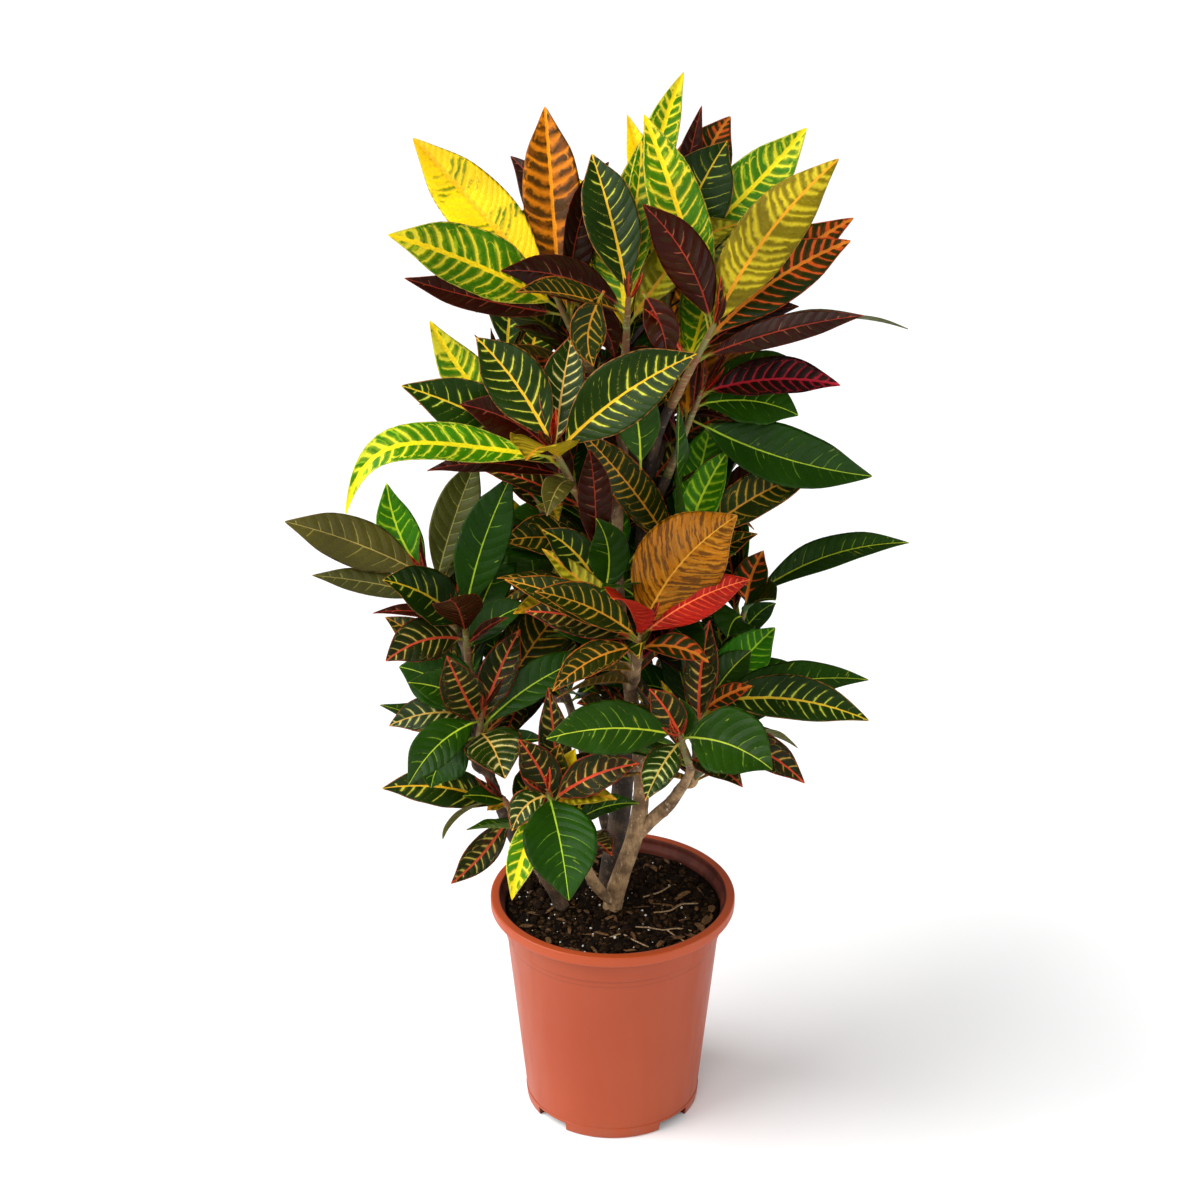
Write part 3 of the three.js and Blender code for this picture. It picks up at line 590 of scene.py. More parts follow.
def soilShape():
    # (radius * cos a, radius * sin a, height + lumps), up the pot's inner wall and in to the middle
    floor = pot["floor"] + soil["gap"]
    gap, level, rounding = pot["wall"] + soil["gap"], soil["level"], soil["rounding"]
    top, foot = wallRadius(level) - gap, wallRadius(floor) - gap
    outer = rounded([(0, floor, 0), (foot, floor, rounding), (top, level, rounding), (0, level, 0)])[1:-1]
    inner = np.linspace(top * soil["firstRing"], soil["lastRing"], soil["rings"])
    radii = np.concatenate([[radius for radius, _ in outer], inner])
    heights = np.concatenate([[height for _, height in outer], np.full(len(inner), level)])
    x, y = circles(radii, soil["columns"])
    lumpy = (heights >= level - 1) * (1 - eased(radii, top * soil["lumpsFade"], top))
    z = heights[:, None] + lumpy[:, None] * soilHeight(x, y)
    return skin(np.stack([x, y, z], -1), (0, 0, floor), (0, 0, level + soilHeight(0, 0)))


def soilFinish():
    finish = Finish("dark potting soil")
    where = finish.place()
    clods = finish.cells(where, 260)
    grains = finish.noise(where, 700, 4, 0.7)
    fibres = finish.noise(finish.stretch(where, (1, 4, 2)), 240, 4, 0.6)
    damp = finish.noise(where, 14, 3)
    colour = finish.mix(finish.ease(grains, 0.45, 0.72), soil["colour"], soil["paleColour"])
    colour = finish.mix(finish.ease(fibres, 0.66, 0.74, 0, 0.5), colour, soil["fibreColour"])
    colour = finish.mix(finish.ease(damp, 0.35, 0.7, 0, 0.5), colour, soil["dampColour"])
    finish.bump(clods + grains * 0.7, 0.0018, 0.8)
    return finish.done(colour, finish.ease(damp, 0.3, 0.7, 0.95, 0.75), Specular_IOR_Level=0.08)


grit = {
    "lumps": {  # how many, first number, least and greatest size, light and dark colour
        "soil_crumbs": (1300, 100, (1.5, 4.2), ("#46301a", "#0a0502")),
        "soil_clods": (190, 3000, (4.0, 9.0), ("#261708", "#080402")),
    },
    "lumpLift": 0.5,
    "edgeGap": 5,  # mm kept from the pot's wall
    "grains": 90,
    "firstGrain": 7000,
    "grainLift": 1.0,
    "grainSize": (0.7, 2.0),
    "grainColours": ("#e9e6df", "#c4bdb0"),
    "flakes": 60,
    "firstFlake": 9000,
    "flakeLift": 2.2,
    "flakeGap": 11,
    "flakeLength": (6, 19),
    "flakeHalf": (0.8, 2.5),
    "flakeColours": ("#7c5a3a", "#3d2818"),
    "leafBits": (  # place, length, width and turn in degrees of dry leaf pieces
        (92, -34, 26, 9, 70), (84, -48, 20, 8, 110), (97, -16, 18, 7, 85), (60, -66, 22, 7, 25),
        (74, -58, 16, 6, 150), (46, -76, 15, 5, 60), (-84, -46, 15, 6, 20), (-62, -70, 13, 5, 100),
        (16, -88, 13, 4, 160), (70, 10, 20, 7, 40), (40, 62, 18, 6, 120), (-40, 66, 20, 7, 30),
        (-70, 40, 16, 6, 80),
    ),
    "leafBitLift": 3.4,
    "firstSeenGrain": 7500,
    "seenGrainLift": 1.4,
    "seenGrains": (
        (-78, -50), (-47, -56), (-57, -84), (-24, -77), (-27, -90), (20, -80), (-40, -98), (2, -66),
        (38, -72), (58, -60), (-66, -20), (71, -28), (46, -88), (-8, -96),
    ),
    "rootRadius": 0.75,
    "rootColours": ("#b59a76", "#7a5c40"),
    "roots": (  # place and lift above the soil of every point
        ((22, -46, 2.2), (34, -49, 3.2), (48, -52, 2.6), (62, -50, 3.4), (76, -52, 2.0)),
        ((52, -51, 2.8), (60, -60, 3.0), (70, -72, 2.2), (74, -78, 1.6)),
        ((-20, -60, 2.0), (-6, -66, 2.8), (8, -62, 2.2), (20, -70, 2.4), (34, -82, 1.8)),
        ((40, -20, 2.2), (56, -18, 3.0), (68, -6, 2.4), (84, -2, 1.8)),
        ((30, 10, 2.2), (46, 16, 3.0), (58, 34, 2.2)),
    ),
}

# the corners and faces of an icosahedron
golden = (1 + 5**0.5) / 2
lumpCorners = unit(np.array([
    (-1, golden, 0), (1, golden, 0), (-1, -golden, 0), (1, -golden, 0), (0, -1, golden), (0, 1, golden),
    (0, -1, -golden), (0, 1, -golden), (golden, 0, -1), (golden, 0, 1), (-golden, 0, -1), (-golden, 0, 1),
]))
lumpSides = np.array([
    (0, 11, 5), (0, 5, 1), (0, 1, 7), (0, 7, 10), (0, 10, 11), (1, 5, 9), (5, 11, 4), (11, 10, 2),
    (10, 7, 6), (7, 1, 8), (3, 9, 4), (3, 4, 2), (3, 2, 6), (3, 6, 8), (3, 8, 9), (4, 9, 5),
    (2, 4, 11), (6, 2, 10), (8, 6, 7), (9, 8, 1),
])


def crumbShape(places, sizes, seeds, flat):
    # Lumps of 20 faces each: an icosahedron with corners at size * (0.55 + 0.5 * draw), all at once.
    reach = sizes[:, None] * (0.55 + 0.5 * draw(seeds[:, None] + np.arange(12) * 0.37))
    spin = 2 * np.pi * draw(seeds + 0.11)
    x, y, z = (lumpCorners[None, :, axis] * reach for axis in range(3))
    c, s = np.cos(spin)[:, None], np.sin(spin)[:, None]
    points = np.stack([x * c - y * s, x * s + y * c, z * flat], -1) + places[:, None]
    faces = lumpSides[None] + 12 * np.arange(len(places))[:, None, None]
    return {"points": points.reshape(-1, 3), "faces": [faces.reshape(-1, 3)]}


def onSoil(x, y, lift):
    return np.stack([x, y, soil["level"] + soilHeight(x, y) + lift], -1)


def scattered(count, first, reach, lift):
    # numbered places on the soil, evenly spread over a disc
    numbers = np.arange(count) + first
    radius = reach * np.sqrt(draw(numbers))
    angle = 2 * np.pi * draw(numbers + 0.5)
    return onSoil(radius * np.cos(angle), radius * np.sin(angle), lift), numbers


def between(limits, share):
    return limits[0] + (limits[1] - limits[0]) * share


def strip(x, y, length, turn, t, heights, widths, bend):
    # A thin curled flake along a level line of shares t:
    # centre(t) + across * u * width(t) + up * (bend * u^2 * width(t) + thickness), on both sides.
    centres = np.column_stack([x + np.cos(turn) * length * t, y + np.sin(turn) * length * t, heights])
    along = unit(np.gradient(centres, axis=0))
    across = unit(np.cross(along, (0, 0, 1.0)))
    up = np.cross(across, along)
    u = np.array([-1, -0.5, 0, 0.5, 1, 0.5, 0, -0.5])
    thick = np.array([0, 0.3, 0.35, 0.3, 0, -0.3, -0.35, -0.3])
    size = widths[:, None]
    rings = centres[:, None] + across[:, None] * (u * size)[..., None]
    rings = rings + up[:, None] * (bend * u * u * size + thick)[..., None]
    return skin(rings, rings[0].mean(axis=0), rings[-1].mean(axis=0))


def barkChip(place, number):
    # a short tilted flake, round at its ends
    x, y, z = place
    t = np.linspace(-0.5, 0.5, 7)
    length = between(grit["flakeLength"], draw(number + 0.8))
    heights = z + (draw(number + 0.9) - 0.3) * length * 0.35 * t
    widths = 0.25 + between(grit["flakeHalf"], draw(number + 0.35)) * np.sqrt(1 - (2 * t) ** 2)
    return strip(x, y, length, 2 * np.pi * draw(number + 0.7), t, heights, widths, 0.4)


def leafBit(x, y, length, width, degrees):
    # a longer waved flake, pointed at its ends
    t = np.linspace(-0.5, 0.5, 9)
    heights = soil["level"] + soilHeight(x, y) + grit["leafBitLift"] + 1.2 * np.sin(4 * t + x)
    widths = 0.3 + width / 2 * (1 - (2 * t) ** 2) ** 0.7
    return strip(x, y, length, math.radians(degrees), t, heights, widths, 0.35)


def chipFinish(name, light, dark):
    finish = Finish(name)
    grain = finish.noise(finish.stretch(finish.place(), (1, 3, 1)), 420, 4, 0.6)
    colour = finish.mix(finish.ease(grain, 0.35, 0.65), light, dark)
    finish.bump(grain, 0.0006, 0.8)
    return finish.done(colour, finish.ease(grain, 0.3, 0.7, 0.75, 0.95), Specular_IOR_Level=0.08)


def buildLumps(reach):
    for name, (count, first, sizes, tones) in grit["lumps"].items():
        places, numbers = scattered(count, first, reach, grit["lumpLift"])
        size = between(sizes, draw(numbers + 0.25) ** 2)
        shape = crumbShape(places, size, numbers, 0.75)
        newPiece(name, [shape], chipFinish(f"{name} grain", *tones), "soil")


def buildPerlite(reach):
    # scattered grains, and the ones that the photo shows
    places, numbers = scattered(grit["grains"], grit["firstGrain"], reach, grit["grainLift"])
    x, y = np.array(grit["seenGrains"], dtype=float).T
    places = np.concatenate([places, onSoil(x, y, grit["seenGrainLift"])])
    numbers = np.concatenate([numbers, grit["firstSeenGrain"] + np.arange(len(x))])
    size = between(grit["grainSize"], draw(numbers + 0.25) ** 2)
    shape = crumbShape(places, size, numbers, 0.9)
    newPiece("perlite_grains", [shape], chipFinish("white perlite", *grit["grainColours"]), "soil")


def buildRoots():
    roots = []
    for path in grit["roots"]:
        radii = np.full(len(path), grit["rootRadius"])
        roots.append(tube(np.column_stack([onSoil(*np.array(path).T), radii]), 6, 40))
    newPiece("pale_roots", roots, chipFinish("pale root", *grit["rootColours"]), "soil")


def buildGrit():
    inside = wallRadius(soil["level"]) - pot["wall"]
    buildLumps(inside - grit["edgeGap"])
    buildPerlite(inside - grit["edgeGap"])
    reach = inside - grit["flakeGap"]
    places, numbers = scattered(grit["flakes"], grit["firstFlake"], reach, grit["flakeLift"])
    flakes = [barkChip(place, number) for place, number in zip(places, numbers)]
    flakes += [leafBit(*row) for row in grit["leafBits"]]
    newPiece("bark_chips", flakes, chipFinish("dry bark", *grit["flakeColours"]), "soil")
    buildRoots()
    print("grit laid on the soil")


def buildSoil():
    piece = newPiece("soil_bed", [soilShape()], soilFinish(), "soil", ["soil"])
    carve(piece, [("DIFFERENCE", notchBoxes(pot["wall"] + soil["gap"]))])
    print("soil:", len(piece.data.polygons), "faces")


# Each leaf: look, tip to the right, up and away from the crown in the photo's view, width, arch, the way
# it faces in degrees from the front, and at times how far its arch lies towards the tip.
heads = {
    "top_left": {
        "tone": "gold", "crown": (-50, -15, 845), "stalk": (30, 25, -75), "backLeaves": 3,
        "leaves": [
            ("gold", -130, 150, 40, 64, 2, 30), ("amber", -12, 180, 50, 58, 4, 30),
            ("lace", -145, 50, -20, 66, 8, 40), ("maroon", -135, 20, 5, 46, -2, 40),
        ],
    },
    "top_mid": {
        "tone": "gold", "crown": (12, -30, 850), "stalk": (-3, 20, -80), "backLeaves": 3,
        "leaves": [
            ("banded", -32, 132, 25, 54, 8, 30), ("lace", 12, 147, 10, 42, 6, 30),
            ("maroon", -110, 20, -40, 54, 12, 200), ("veined", -95, -5, -50, 36, 10, 60),
            ("lace", 52, 220, 20, 38, 30, 30),
        ],
    },
    "top_right": {
        "tone": "gold", "crown": (86, -30, 824), "stalk": (-35, 20, -80), "backLeaves": 3,
        "leaves": [
            ("maroon", -62, 102, -45, 62, 10, 200), ("lace", -60, 188, 30, 54, 8, 30),
            ("olive", 108, 143, -20, 66, 12, 200), ("flame", 125, 82, 35, 54, 12, 30),
            ("flame", 130, 106, 0, 50, 12, 40), ("maroon", 80, 25, 20, 50, 12, 60),
            ("maroon", 130, 8, -30, 38, 6, 200), ("dusky", 184, 18, 20, 36, 28, 100),
            ("scarlet", -60, 11, -50, 14, 6, 60),
        ],
    },
    "top_back": {
        "tone": "gold", "crown": (52, 55, 858), "stalk": (-10, -15, -80), "backLeaves": 5,
        "leaves": [
            ("lace", 122, 121, 0, 60, -4, 30), ("banded", 50, 108, 10, 72, 8, 30),
            ("maroon", 28, 145, 20, 36, 8, 30), ("gold", -40, 136, 15, 34, 6, 30),
        ],
    },
    "left_mid": {
        "tone": "green", "crown": (-54, -70, 728), "stalk": (25, 45, -70), "backLeaves": 2,
        "leaves": [
            ("banded", -68, 98, 15, 58, 8, 30), ("cream", 17, 101, 15, 44, 6, 30),
            ("banded", 125, 77, 10, 66, 10, 35), ("lace", -181, -61, -10, 44, 52, 50, 6),
            ("olive", -20, -18, -110, 70, 16, 90), ("maroon", -82, 38, -75, 60, 12, 30),
            ("lace", -111, 116, 40, 52, -14, 30), ("banded", -134, 55, 25, 60, 10, 30),
            ("maroon", -79, 89, 40, 42, 8, 30), ("maroon", -113, -19, 20, 44, 12, 70),
            ("dusky", -5, -61, -10, 30, 14, 60),
        ],
    },
    "right_mid": {
        "tone": "red", "crown": (79, 40, 736), "stalk": (-30, -15, -75), "backLeaves": 4,
        "leaves": [
            ("crimson", 127, 7, -20, 46, 12, 50), ("green", 102, 27, 20, 40, 14, 60),
            ("green", 91, -18, 10, 62, 12, 50), ("maroon", 0, 41, -5, 14, 2, 30),
            ("green", 157, -75, -10, 64, -8, 40),
        ],
    },
    "right_low": {
        "tone": "green", "crown": (71, 10, 599), "stalk": (-35, -20, -60), "backLeaves": 2,
        "leaves": [
            ("veined", 125, 73, -20, 46, 10, 40), ("lime", 21, 115, -5, 50, 8, 30),
            ("lime", 35, 88, 12, 40, 8, 30), ("veined", -104, 102, -20, 42, 6, 30),
        ],
    },
    "centre_back": {
        "tone": "green", "crown": (-8, 30, 591), "stalk": (5, 0, -60), "backLeaves": 3,
        "leaves": [
            ("green", 45, 108, 10, 54, 8, 30), ("redvein", 90, 112, -5, 46, 8, 30),
            ("veined", -95, 2, -30, 50, 12, 50), ("lime", 0, 50, -20, 44, 8, 30),
        ],
    },
    "centre": {
        "tone": "red", "crown": (24, -80, 550), "stalk": (-2, 10, -24), "backLeaves": 0,
        "leaves": [
            ("bronze", 86, 107, -35, 92, 14, 200), ("scarlet", 98, 50, -30, 44, 8, 200),
            ("scarlet", -25, 32, -60, 56, 14, 60), ("veined", -95, 39, -30, 42, 10, 50),
            ("veined", -123, 50, 0, 38, 10, 50), ("redvein", -105, 21, -25, 42, 10, 40),
            ("olive", -90, 79, -10, 30, 6, 40), ("veined", -79, -50, -15, 34, 12, 50),
            ("flame", 62, -25, 5, 30, 10, 60),
        ],
    },
    "right": {
        "tone": "green", "crown": (84, -10, 443), "stalk": (-6, -15, -55), "backLeaves": 2,
        "leaves": [
            ("banded", 156, -14, -20, 48, 16, 40), ("green", 161, 23, 30, 45, 14, 60),
            ("flame", 46, 19, -25, 22, 4, 40), ("green", 49, 51, 10, 40, 8, 30),
            ("lime", 74, 81, 40, 52, 8, 30), ("veined", 61, 60, 15, 30, 6, 30),
            ("redvein", 6, 81, -20, 36, 6, 30), ("green", 72, -6, 20, 42, 12, 60),
            ("redvein", 96, -73, 0, 40, 14, 50), ("dusky", 94, -43, 30, 30, 16, 110),
            ("maroon", 81, -31, 10, 22, 8, 60),
        ],
    },
    "front_right": {
        "tone": "green", "crown": (60, -115, 465), "stalk": (10, 45, -50), "backLeaves": 0,
        "leaves": [
            ("green", -121, -1, -25, 56, 10, 35), ("green", 81, -28, -35, 72, 12, 40),
            ("cream", -32, -56, -30, 36, 8, 50), ("redvein", -28, 43, -10, 34, 4, 30),
            ("green", 0, 34, 10, 30, 4, 30),
        ],
    },
    "front_left": {
        "tone": "green", "crown": (-60, -125, 412), "stalk": (15, 40, -60), "backLeaves": 0,
        "leaves": [
            ("green", 20, -91, -60, 74, 14, 60), ("cream", -32, -33, -30, 32, 12, 50),
            ("lace", -32, -95, -20, 32, 12, 50), ("redvein", 83, 28, -20, 40, 8, 40),
            ("olive", 63, -5, -10, 26, 8, 50), ("redvein", -26, 50, -20, 40, 4, 30),
            ("veined", 11, 45, 0, 34, 4, 30), ("gold", 25, 40, 10, 32, 4, 30),
            ("redvein", 0, 96, 20, 34, 6, 30),
        ],
    },
    "left_low": {
        "tone": "green", "crown": (-122, -60, 462), "stalk": (-5, 15, -50), "backLeaves": 2,
        "leaves": [
            ("green", -67, 27, -10, 38, 8, 40), ("green", -78, 41, 20, 60, 10, 40),
            ("cream", -87, -14, -15, 40, 10, 50), ("green", -65, -66, -20, 46, 14, 50),
            ("redvein", -28, 53, 10, 44, 6, 30), ("redvein", 35, 76, -5, 38, 6, 30),
            ("green", 109, 53, 10, 42, 12, 50), ("cream", 23, -60, -50, 60, 12, 60),
            ("green", -48, -72, 20, 58, 14, 40),
        ],
    },
    "left_foot": {
        "tone": "green", "crown": (-102, -60, 369), "stalk": (10, 12, -26), "backLeaves": 0,
        "leaves": [
            ("dusky", -59, -38, 10, 28, 14, 110), ("green", -38, 5, -10, 22, 4, 50),
            ("olive", -17, -11, -20, 14, 4, 50), ("banded", -116, 10, 5, 45, 20, 50),
            ("redvein", -50, -78, -10, 32, -6, 50),
        ],
    },
    "left_up": {
        "tone": "green", "crown": (-138, -20, 537), "stalk": (3, 5, -60), "backLeaves": 2,
        "leaves": [
            ("green", 45, 134, -5, 53, 8, 30), ("maroon", -84, 6, -15, 22, 8, 60),
            ("banded", -71, 36, -30, 58, 10, 50), ("maroon", -5, 18, -90, 66, 10, 200),
            ("redvein", -71, -38, -40, 48, 12, 40), ("maroon", 41, 2, -20, 20, 4, 60),
            ("green", 59, 14, 15, 40, 10, 60),
        ],
    },
    "left_top": {
        "tone": "green", "crown": (-172, 20, 562), "stalk": (25, -5, -55), "backLeaves": 2,
        "leaves": [
            ("dusky", -135, 52, -10, 52, 6, 200), ("lime", -41, 89, 10, 44, -16, 30),
            ("dusky", 45, 114, 10, 46, 6, 30), ("dusky", 58, 84, 25, 30, 6, 30),
            ("dusky", -111, 2, 5, 28, 4, 200),
        ],
    },
    "right_back": {
        "tone": "green", "crown": (131, 90, 506), "stalk": (-20, -20, -60), "backLeaves": 3,
        "leaves": [
            ("green", 158, 56, 10, 40, 18, 60), ("flame", 14, 48, -20, 36, 4, 30),
            ("green", 22, 0, -30, 42, 8, 50), ("green", -21, -36, -20, 50, 10, 50),
        ],
    },
    "back_top": {
        "tone": "gold", "crown": (-25, 100, 790), "stalk": (8, -20, -75), "backLeaves": 9, "leaves": [],
    },
    "back_high": {
        "tone": "gold", "crown": (70, 130, 770), "stalk": (-22, -25, -70), "backLeaves": 8, "leaves": [],
    },
    "back_side": {
        "tone": "green", "crown": (-98, 78, 748), "stalk": (32, -18, -60), "backLeaves": 8, "leaves": [],
    },
    "back_left": {
        "tone": "green", "crown": (-95, 95, 665), "stalk": (30, -20, -60), "backLeaves": 9, "leaves": [],
    },
    "back_right": {
        "tone": "red", "crown": (115, 130, 650), "stalk": (-30, -25, -60), "backLeaves": 9, "leaves": [],
    },
    "back_mid": {
        "tone": "green", "crown": (20, 140, 610), "stalk": (0, -25, -65), "backLeaves": 9, "leaves": [],
    },
    "back_low_left": {
        "tone": "green", "crown": (-75, 115, 470), "stalk": (25, -20, -60), "backLeaves": 9,
        "leaves": [],
    },
    "back_low_right": {
        "tone": "green", "crown": (70, 140, 455), "stalk": (-30, -25, -55), "backLeaves": 9,
        "leaves": [],
    },
}

# Every stem is a trunk in the soil and its branches, each a chain of (x, y, z, radius) points that
# runs on to the head it names.
stems = {
    "stem_light": [
        ("top_mid", [
            (0, -4, 218, 9.5), (8, -6, 255, 9), (21, -8, 300, 8.5), (27, -9, 345, 7.5),
            (24, -10, 400, 7), (15, -11, 465, 6.5), (6, -12, 540, 6), (3, -11, 620, 5.5),
            (8, -10, 700, 5),
        ]),
        ("front_left", [(2, -6, 222, 5), (-17, -20, 252, 5.5), (-28, -44, 292, 5)]),
        ("right", [(21, -8, 296, 5.5), (38, -11, 320, 6.5), (55, -15, 340, 6), (68, -20, 363, 5)]),
        ("front_right", [(57, -16, 343, 4), (66, -32, 368, 4.5)]),
        ("centre", [(16, -11, 460, 4.5), (20, -38, 486, 5)]),
        ("right_low", [(13, -11, 480, 4.5), (20, -10, 505, 4.5)]),
        ("left_mid", [(6, -12, 545, 4.5), (-8, -14, 605, 4.5)]),
    ],
    "stem_dark": [
        ("top_back", [
            (-4, 24, 218, 11.5), (2, 25, 265, 11), (8, 26, 318, 10.5), (12, 26, 380, 9.5),
            (14, 25, 450, 8.5), (21, 29, 520, 7.5), (27, 33, 600, 6.5), (32, 34, 680, 5.5),
        ]),
        ("right_back", [(10, 26, 345, 5), (50, 42, 395, 5), (88, 56, 425, 4.5)]),
        ("centre_back", [(13, 25, 430, 4.5), (0, 30, 480, 4.5)]),
        ("right_mid", [(23, 30, 550, 4.5), (36, 22, 620, 4.5)]),
        ("top_right", [(27, 33, 600, 4.5), (32, 10, 668, 4.5)]),
        ("top_left", [(30, 34, 640, 4.5), (10, 27, 700, 4.5)]),
        ("back_top", [(27, 33, 600, 4.5), (8, 54, 668, 4.5)]),
        ("back_high", [(30, 34, 650, 4.5), (44, 66, 672, 4.5)]),
        ("back_side", [(28, 33, 610, 4.5), (-12, 52, 668, 4.5)]),
        ("back_left", [(18, 28, 495, 4.5), (-18, 62, 552, 4.5)]),
        ("back_right", [(17, 27, 480, 4.5), (48, 72, 535, 4.5)]),
        ("back_mid", [(13, 25, 435, 4.5), (14, 66, 488, 4.5)]),
    ],
    "stem_rear": [
        ("back_low_left", [(6, 54, 218, 6), (-4, 52, 265, 5.5), (-14, 56, 305, 5), (-30, 74, 355, 5)]),
        ("back_low_right", [(-5, 52, 268, 4), (12, 78, 325, 4.5)]),
    ],
    "stem_left": [
        ("left_low", [
            (-50, -6, 218, 7.5), (-70, -18, 268, 7), (-94, -28, 309, 6.5), (-108, -34, 350, 5.5),
            (-119, -36, 385, 5),
        ]),
        ("left_up", [(-112, -35, 362, 4), (-127, -24, 425, 4.5)]),
        ("left_top", [(-119, -34, 385, 3.5), (-138, -6, 445, 4.2)]),
        ("left_foot", [(-88, -25, 298, 3.5), (-87, -38, 325, 4)]),
    ],
}

stem = {
    "holeDepth": 62,
    "inLine": 18,  # length of a branch's end in line with its shoot
    "touchGap": 0.3,
    "columns": 20,
    "rowLength": 2.5,
    "scarSpacing": 13,
    "scarRise": 0.55,
    "scarWidth": 0.09,  # share of the spacing
    "woodFrom": 0.12,  # share of a branch's length from which leaves keep clear of it
    "woodPoints": 40,
    "barks": {  # light, dark and pale flecks
        "stem_light": ("#ac8a60", "#644a30", "#cbb48e"),
        "stem_dark": ("#543f2c", "#2b2018", "#7a6248"),
        "stem_rear": ("#6a5138", "#35281c", "#8a7052"),
        "stem_left": ("#6a5138", "#35281c", "#8a7052"),
    },
}

shoot = {
    "baseRadius": 4.4,
    "tipRadius": 2.2,
    "budLength": 7,
    "leafStep": 6,
    "filled": 0.85,
    "scarRise": 0.5,
    "scarWidth": 0.16,
    "columns": 14,
    "rows": 26,
    "colours": ("#6c6a34", "#7a4a2c"),
    "ringColour": "#9a9358",
}


def crownOf(head):
    return np.array(head["crown"], dtype=float)


def downFrom(head):
    # the way from the crown down the shoot
    return unit(np.array(head["stalk"], dtype=float))


def stemPath(branch, isTrunk):
    # the branch's points, then a lead in line with the shoot and its end under the shoot
    name, points = branch
    head = heads[name]
    base = crownOf(head) + head["stalk"]
    path = [list(point) for point in points]
    for reach in (stem["inLine"], stem["touchGap"]):
        path.append([*(base + downFrom(head) * reach), shoot["baseRadius"]])
    if isTrunk:
        x, y, z, radius = path[0]
        path.insert(0, [x, y, z - stem["holeDepth"], radius])
    return np.array(path)


def tube(path, columns, rows, relief=None):
    # centre(t) + radius(t, a) * (cos a * across + sin a * other), along the smoothed path
    t = np.linspace(0, 1, rows)
    centres = curve(path[:, :3], t)
    radii = np.interp(t * (len(path) - 1), np.arange(len(path)), path[:, 3])
    lengths = runOf(centres)
    along = unit(np.gradient(centres, axis=0))
    start = unit(np.cross(along[0], (0.3, 1, 0.2)))  # any way that no path starts in
    across = unit(start - along * (along @ start)[:, None])
    other = np.cross(along, across)
    angles = np.arange(columns) / columns * 2 * np.pi
    swell = relief(lengths[:, None], angles[None, :]) if relief else 0
    size = radii[:, None] + swell
    ways = across[:, None] * np.cos(angles)[:, None] + other[:, None] * np.sin(angles)[:, None]
    rings = centres[:, None] + ways * size[..., None]
    return skin(rings, centres[0], centres[-1])


def runOf(points):
    # length along a line up to each of its points
    return np.concatenate([[0], np.cumsum(np.linalg.norm(np.diff(points, axis=0), axis=1))])


def barkRelief(seed):
    # leaf scars, each a short ridge half round the stem, and slow swellings
    def relief(length, angle):
        place = length / stem["scarSpacing"] + 0.12 * np.sin(angle + seed)
        number = np.floor(place)
        side = 2 * np.pi * draw(number + seed)
        ridge = np.exp(-(((place - number - 0.5) / stem["scarWidth"]) ** 2))
        facing = np.clip(np.cos(angle - side) + 0.35, 0, 1)
        slow = 0.25 * np.sin(length / 17 + 2 * angle + seed) + 0.15 * np.sin(length / 5.3 + seed)
        return stem["scarRise"] * ridge * facing + slow
    return relief


def barkFinish(name):
    light, dark, pale = stem["barks"][name]
    finish = Finish(f"bark of {name}")
    where = finish.place()
    broad = finish.noise(where, 45, 4, 0.6)
    fibres = finish.noise(finish.stretch(where, (1, 1, 0.12)), 520, 5, 0.65)
    flecks = finish.noise(finish.stretch(where, (1, 1, 0.6)), 260, 3, 0.6)
    colour = finish.mix(finish.ease(broad, 0.38, 0.62), light, dark)
    colour = finish.mix(finish.ease(fibres, 0.42, 0.66, 0, 0.6), colour, dark)
    colour = finish.mix(finish.ease(flecks, 0.6, 0.7, 0, 0.75), colour, pale)
    finish.bump(fibres * 0.8 + flecks, 0.0009, 0.8)
    return finish.done(colour, finish.ease(broad, 0.3, 0.7, 0.72, 0.9))


def buildStems():
    for name, branches in stems.items():
        shapes = []
        for place, branch in enumerate(branches):
            path = stemPath(branch, place == 0)
            rows = max(12, int(runOf(path[:, :3])[-1] / stem["rowLength"]))
            shapes.append(tube(path, stem["columns"], rows, barkRelief(7.3 * place + len(name))))
        newPiece(f"{name}_bark", shapes, barkFinish(name), "bark", [name])
    print("stems built")


leafShape = {
    "stalkShare": 0.09,
    "rootPower": 0.75,
    "tipPower": 0.85,
    "stalkRadius": 1.2,
    "thickness": 0.8,
    "sections": (0.26, 0.5, 0.78, 1),  # rows of the source's blade beyond its stalk
    "narrowSections": (0.32, 0.66, 1),
    "backSections": (0.34, 0.7, 1),
    "narrow": 40,
    "rows": 26,
    "columns": 13,
    "lastRow": 0.995,
    "poleReach": 0.4,  # mm from the outer rows to the point at either end
    "fold": (0.16, 0.5),  # rise of the margins as a share of the half width
    "wave": 0.055,
    "waves": (2, 4),
    "twist": 0.03,
    "halfThick": 0.38,
    "ribHalf": 1.3,
    "ribRise": (0.3, 0.9),  # mm sunk into the top, mm that stand out below
    "stalkColours": ("#7a8430", "#9c3f1f"),
    "perPiece": 6,
    "seedStep": 40,
    "headSeed": 1.37,
    "centreSeed": 1400,
    "stemSeed": 1500,
}

backLeaf = {
    "fan": 34,
    "ringSpread": 260,
    "ringStep": 0.618,
    "swing": 24,
    "ringRise": (72, 2),
    "fanRise": (62, 12),
    "length": 172,
    "lengthSpread": 0.4,
    "widthShare": 0.34,
    "arch": 22,
    "hook": 3,
    "roll": 0.9,
}

backLooks = {
    "gold": ("lace", "gold", "banded", "lace", "amber", "maroon", "gold", "olive", "flame"),
    "green": ("green", "banded", "lime", "redvein", "cream", "green", "olive", "flame", "veined"),
    "red": ("crimson", "redvein", "amber", "maroon", "scarlet", "veined", "green", "crimson", "flame"),
}
